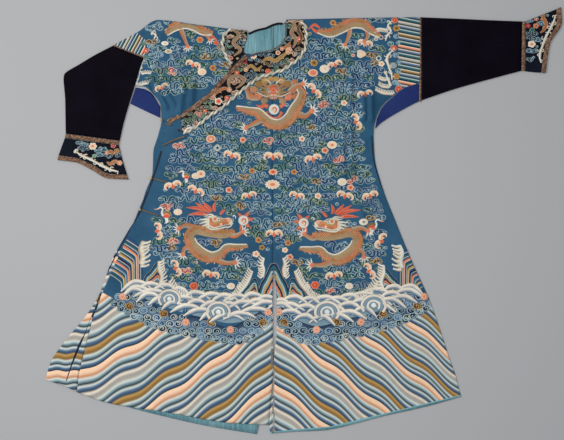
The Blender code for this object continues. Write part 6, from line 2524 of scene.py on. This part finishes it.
@dataclass
class Embroidery:
    """Everything stitched on the robe."""

    panels: dict
    collar: dict
    sleeves: dict
    floss: Material
    gold: Material
    clear: Keepout = field(default_factory=Keepout)
    clear_trim: Keepout = field(default_factory=Keepout)

    def outline_of(self, panel: Panel) -> Points:
        """The cut edge of a panel on the chart."""
        m = panel.middle[..., :2]
        edge = np.vstack([m[0], m[1:, -1], m[-1, -2::-1], m[-2:0:-1, 0]])
        return edge / CHART_STEP + (CHART_MIDDLE, CHART_TOP)

    def needle(self, name: str, *nodes: str) -> Needlework:
        """A piece of needlework on the outer fronts, or on the named panels."""
        grounds = [self.panels[node] for node in nodes or ("front_left", "front_overlap", "overlap_gore")]
        covers = [self.outline_of(self.collar["collar_overlap"]), self.outline_of(self.collar["collar_neck"])]
        if nodes:
            covers += [self.outline_of(self.panels[n]) for n in ("front_overlap", "overlap_gore")]
        return Needlework(name, grounds, kept_clear=covers)

    def skirt_dragon(self, x: float, y: float, facing: int, work: Needlework) -> None:
        """Work one of the two dragons that chase a pearl on the skirt."""
        at = (lambda points: [(x + px * facing, y + py) for px, py in points])
        Dragon(
            body=at(SKIRT_BODY), halves=SKIRT_HALVES, limbs=[(at(path), half) for path, half in SKIRT_LIMBS],
            head=(x, y + 2.6), facing=facing, head_size=1.24, fringe_side=-facing, fringe_from=0.42,
            flames=[(at(path), half) for path, half in SKIRT_FLAMES],
        ).work(work, self.clear)
        pearl = (x + 26.5 * facing, y + 1)
        flames = []
        for dx, dy in PEARL_FLAMES:
            bend = (pearl[0] + dx * facing * 0.5, pearl[1] + dy * 0.6)
            flames.append(([pearl, bend, (pearl[0] + dx * facing, pearl[1] + dy)], 2.7))
        Pearl(*pearl, 5.0, flames).work(work)
        self.clear.add(*pearl, 9)

    def foam(self, work: Needlework, path: Sequence, halves: Sequence) -> None:
        """Work a stalk of foam with curls along it."""
        curl = banded("STONE IVORY STONE")
        work.band(path, np.asarray(halves) * 0.85, FOAM, 0.5)
        for index, spot in enumerate(flowing(path, 2.9)[:-1]):
            place = spot + ((-1.3, -1.7) if index % 2 else (0.6, 1.3))
            work.whirl(place, 2.1, 0.85, 0.55, curl, index * 1.3, 1, 0.7, step=0.6)

    def small_dragons(self, work: Needlework, dragons: Sequence) -> None:
        """Work little dragons: an outlined ribbon with scales across it, a mane and a head."""
        for path, half, silk in dragons:
            work.band(path, (half * 0.5, half, half, half * 0.9, half * 0.4),
                      edged(Silk.TAN, silk, 0.6, 0.24), 0.3, 0.7)
            line = flowing(path, 1.3)
            for before, after in zip(line[:-1], line[1:]):
                ahead = (after - before) / max(np.linalg.norm(after - before), 1e-6)
                out = np.array([-ahead[1], ahead[0]]) * half * 0.6
                thread = [before - out, before + ahead * 0.5, before + out]
                work.band(thread, 0.2, banded("BROWN BROWN"), 0.85)
            rings = ((1, 0.3, Silk.CREAM), (0.75, 0.8, silk), (0.4, 1.0, Silk.CORAL), (0, 1.0, Silk.IVORY))
            work.disc(line[0], half * 1.35, rings, 0.4, 5, 0.2)
            for k in (0.3, 0.65):
                spot = line[int(len(line) * k)]
                self.clear_trim.add(*spot, half + 1)
                for way in (-1, 1):
                    foot = spot + (way * 2.9, 1.6)
                    work.band([spot, (spot + foot) / 2 + (0, -0.6), foot], (half * 0.5, half * 0.45, 0.3),
                              edged(Silk.CREAM, silk, 0.5, 0.3), 0.2, 0.7)
            self.clear_trim.along(path, half + 1.0)

    def trim(self) -> None:
        """Work the black collar and cuffs."""
        collar = Needlework("collar_emblems", [self.collar["collar_overlap"], self.collar["collar_neck"]],
                            base=TRIM_WALL / 2)
        self.small_dragons(collar, COLLAR_DRAGONS)
        cuffs = Needlework("cuff_emblems", [self.sleeves["cuff_left"], self.sleeves["cuff_right"]])
        self.small_dragons(cuffs, CUFF_DRAGONS)
        for path, halves in CUFF_FOAM:
            self.foam(cuffs, path, halves)
            self.clear_trim.along(path, 4.0)
        self.foam(collar, ((193, 128), (188, 129), (184, 132)), (1.6, 1.8, 0.8))
        for work, blooms in ((collar, COLLAR_BLOOMS), (cuffs, CUFF_BLOOMS)):
            for bloom in blooms:
                bloom.work(work)
                self.clear_trim.add(bloom.x, bloom.y, bloom.radius + 0.6)
        dark = (CloudKind.SOOT, CloudKind.SMOKE, CloudKind.FERN, CloudKind.EMBER, CloudKind.SMOKE)
        bright = (CloudKind.CORAL, CloudKind.EMBER)
        for seed, node in enumerate(("collar_overlap", "collar_neck")):
            region = self.outline_of(self.collar[node])[::8]
            CloudField(collar, region, self.clear_trim, COLLAR_SEED + seed, 7.6, dark, bright, 0.7).scatter()
        for seed, region in enumerate(CUFF_FIELDS):
            CloudField(cuffs, region, self.clear_trim, CUFF_SEED + seed, 8.0,
                       (CloudKind.SMOKE, CloudKind.TEAL, CloudKind.BLUE), bright, 0.75).scatter()
        collar.build("trim_black", self.floss)
        cuffs.build("trim_black", self.floss)

    def borders(self, right: Needlework, left: Needlework) -> None:
        """Work the borders of foam, spirals and rosettes beside the striped sleeve ends."""
        rng = np.random.default_rng(BORDER_SEED)
        works = (left, right)
        for shape in BORDER_SPIRALS:
            spiral(works[shape[0] > CHART_MIDDLE], shape, rng)
            self.clear.add(*shape[:3])
        for path, halves in BORDER_FOAM:
            self.foam(works[path[0][0] > CHART_MIDDLE], path, halves)
            self.clear.along(path, 3.0)
        for path, way, reach in BORDER_COMBS:
            HemScene(works[path[0][0] > CHART_MIDDLE], self.clear).comb(path, way, reach)
        for bloom in BORDER_BLOOMS:
            bloom.work(works[bloom.x > CHART_MIDDLE])
            self.clear.add(bloom.x, bloom.y, bloom.radius)

    def dragons(self, front: Needlework, arm: Needlework) -> None:
        """Work the large dragons with their pearls, and those on the shoulders."""
        CHEST_DRAGON.work(front, self.clear)
        Pearl(*CHEST_PEARL, 5.2, CHEST_FLAMES).work(front)
        self.clear.add(*CHEST_PEARL, 12)
        left, right = SHOULDER_DRAGONS
        left.work(front, self.clear)
        for x, y, facing in SKIRT_DRAGONS:
            self.skirt_dragon(x, y, facing, front)
        right.work(arm, self.clear)

    def emblems(self, front: Needlework, arm: Needlework) -> None:
        """Work the bats, blooms and cranes."""
        for x, y, turn, size in BATS:
            Bat(x, y, turn, size).work(arm if x < 215 and y < ARM_FOOT else front)
            self.clear.add(x, y, 7.2 * size)
        for bloom in BLOOMS:
            bloom.work(arm if bloom.x < 222 and bloom.y < ARM_FOOT else front)
            self.clear.add(bloom.x, bloom.y, bloom.radius + 1.2)
        for crane in CRANES:
            crane.work(front)
            self.clear.add(crane.x, crane.y, 6.5 * crane.size)
            self.clear.add(crane.x + 6 * crane.way * crane.size, crane.y - 6 * crane.size, 4.0)

    def clouds(self, name: str, region: Sequence, seed: int, *nodes: str) -> Needlework:
        """Work the clouds of one region."""
        work = self.needle(name, *nodes)
        CloudField(work, region, self.clear, seed).scatter()
        return work

    def pipings(self) -> Needlework:
        """Work the dark piping of the open sides, with the painted shadow of the front's edge, and the dark
        silk between the two parts of the collar.
        """
        sides = Needlework("side_piping_and_shadow", [self.panels[node] for node in (
            "front_left", "front_overlap", "front_under", "back_left", "back_right")])
        # Each band is dark piping and painted shadow of the front's edge on the cloth beside it.
        for path, half in SIDE_PIPING_AND_SHADOW:
            sides.band(path, half, banded("INK NAVY INK", 0.5), 0.3, 3.0)
        sides.band(NECK_JOIN, 3.2, banded("BLACK INK BLACK", 0.15), 0.05, 3.0)
        return sides

    def build(self) -> None:
        """Work every motif and lay it on the cloth."""
        dragons, arm = self.needle("front_dragons"), self.needle("arm_dragon", "front_under")
        self.dragons(dragons, arm)
        emblems, arm_emblems = self.needle("front_emblems"), self.needle("arm_emblems", "front_under")
        self.emblems(emblems, arm_emblems)
        hem = self.needle("hem_scene")
        HemScene(hem, self.clear).build()
        self.borders(emblems, arm_emblems)
        self.trim()
        clouds = [
            self.clouds("left_clouds", LEFT_CLOUDS, LEFT_SEED),
            self.clouds("right_clouds", RIGHT_CLOUDS, RIGHT_SEED),
            self.clouds("arm_clouds", ARM_CLOUDS, ARM_SEED, "front_under"),
        ]
        for work in (dragons, arm):
            work.build("robe_silk", self.gold)
        for work in (emblems, arm_emblems, hem, *clouds, self.pipings()):
            work.build("robe_silk", self.floss)


def main() -> None:
    """Dress the loaded frame."""
    logging.basicConfig(level=logging.INFO, format="%(message)s")
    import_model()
    Studio().build()
    silk = RobeSilk().build()
    black = PlainSilk("collar_satin", (0.0035, 0.003, 0.004), (0.012, 0.009, 0.009), specular=0.04).build()
    brocade = Brocade().build()
    body = RobeBody(
        silk,
        PlainSilk("lining", (0.10, 0.24, 0.29), (0.23, 0.42, 0.46), (0.05, 0.004), 88, 0.0014, 1.1).build(),
        PlainSilk("gusset_cobalt", (0.007, 0.016, 0.094), (0.016, 0.034, 0.150), roughness=0.62).build(),
    ).build()
    sleeves = Sleeves(
        PlainSilk("sleeve_silk", (0.0018, 0.0010, 0.0035), (0.0050, 0.0032, 0.0078), streak_shading=0.25,
                  specular=0.03).build(),
        PlainSilk("cuff_satin", (0.0025, 0.004, 0.009), (0.008, 0.012, 0.022), specular=0.04).build(),
        brocade,
    ).build()
    collar = Collar(black, brocade, Floss("rope_silk", (0.006, 0.0009), 20).build()).build()
    cord = PlainSilk("loop_silk", (0.10, 0.075, 0.05), (0.22, 0.17, 0.12)).build()
    for name, path in LOOPS:
        Loop(name, path).build(cord)
    kinds = {
        ButtonKind.KNOT: PlainSilk("knot_silk", (0.03, 0.006, 0.006), (0.09, 0.02, 0.018)).build(),
        ButtonKind.BALL: Gilt().build(),
    }
    for name, centre, kind in BUTTONS:
        RoundButton(name, centre, kind).build(kinds[kind])
    Embroidery(body, collar, sleeves, Floss("silk_floss").build(),
               Floss("gold_floss", (0.003, 0.0008), 20, wear=0.35, roughness=0.45).build()).build()


if __name__ == "__main__":
    main()
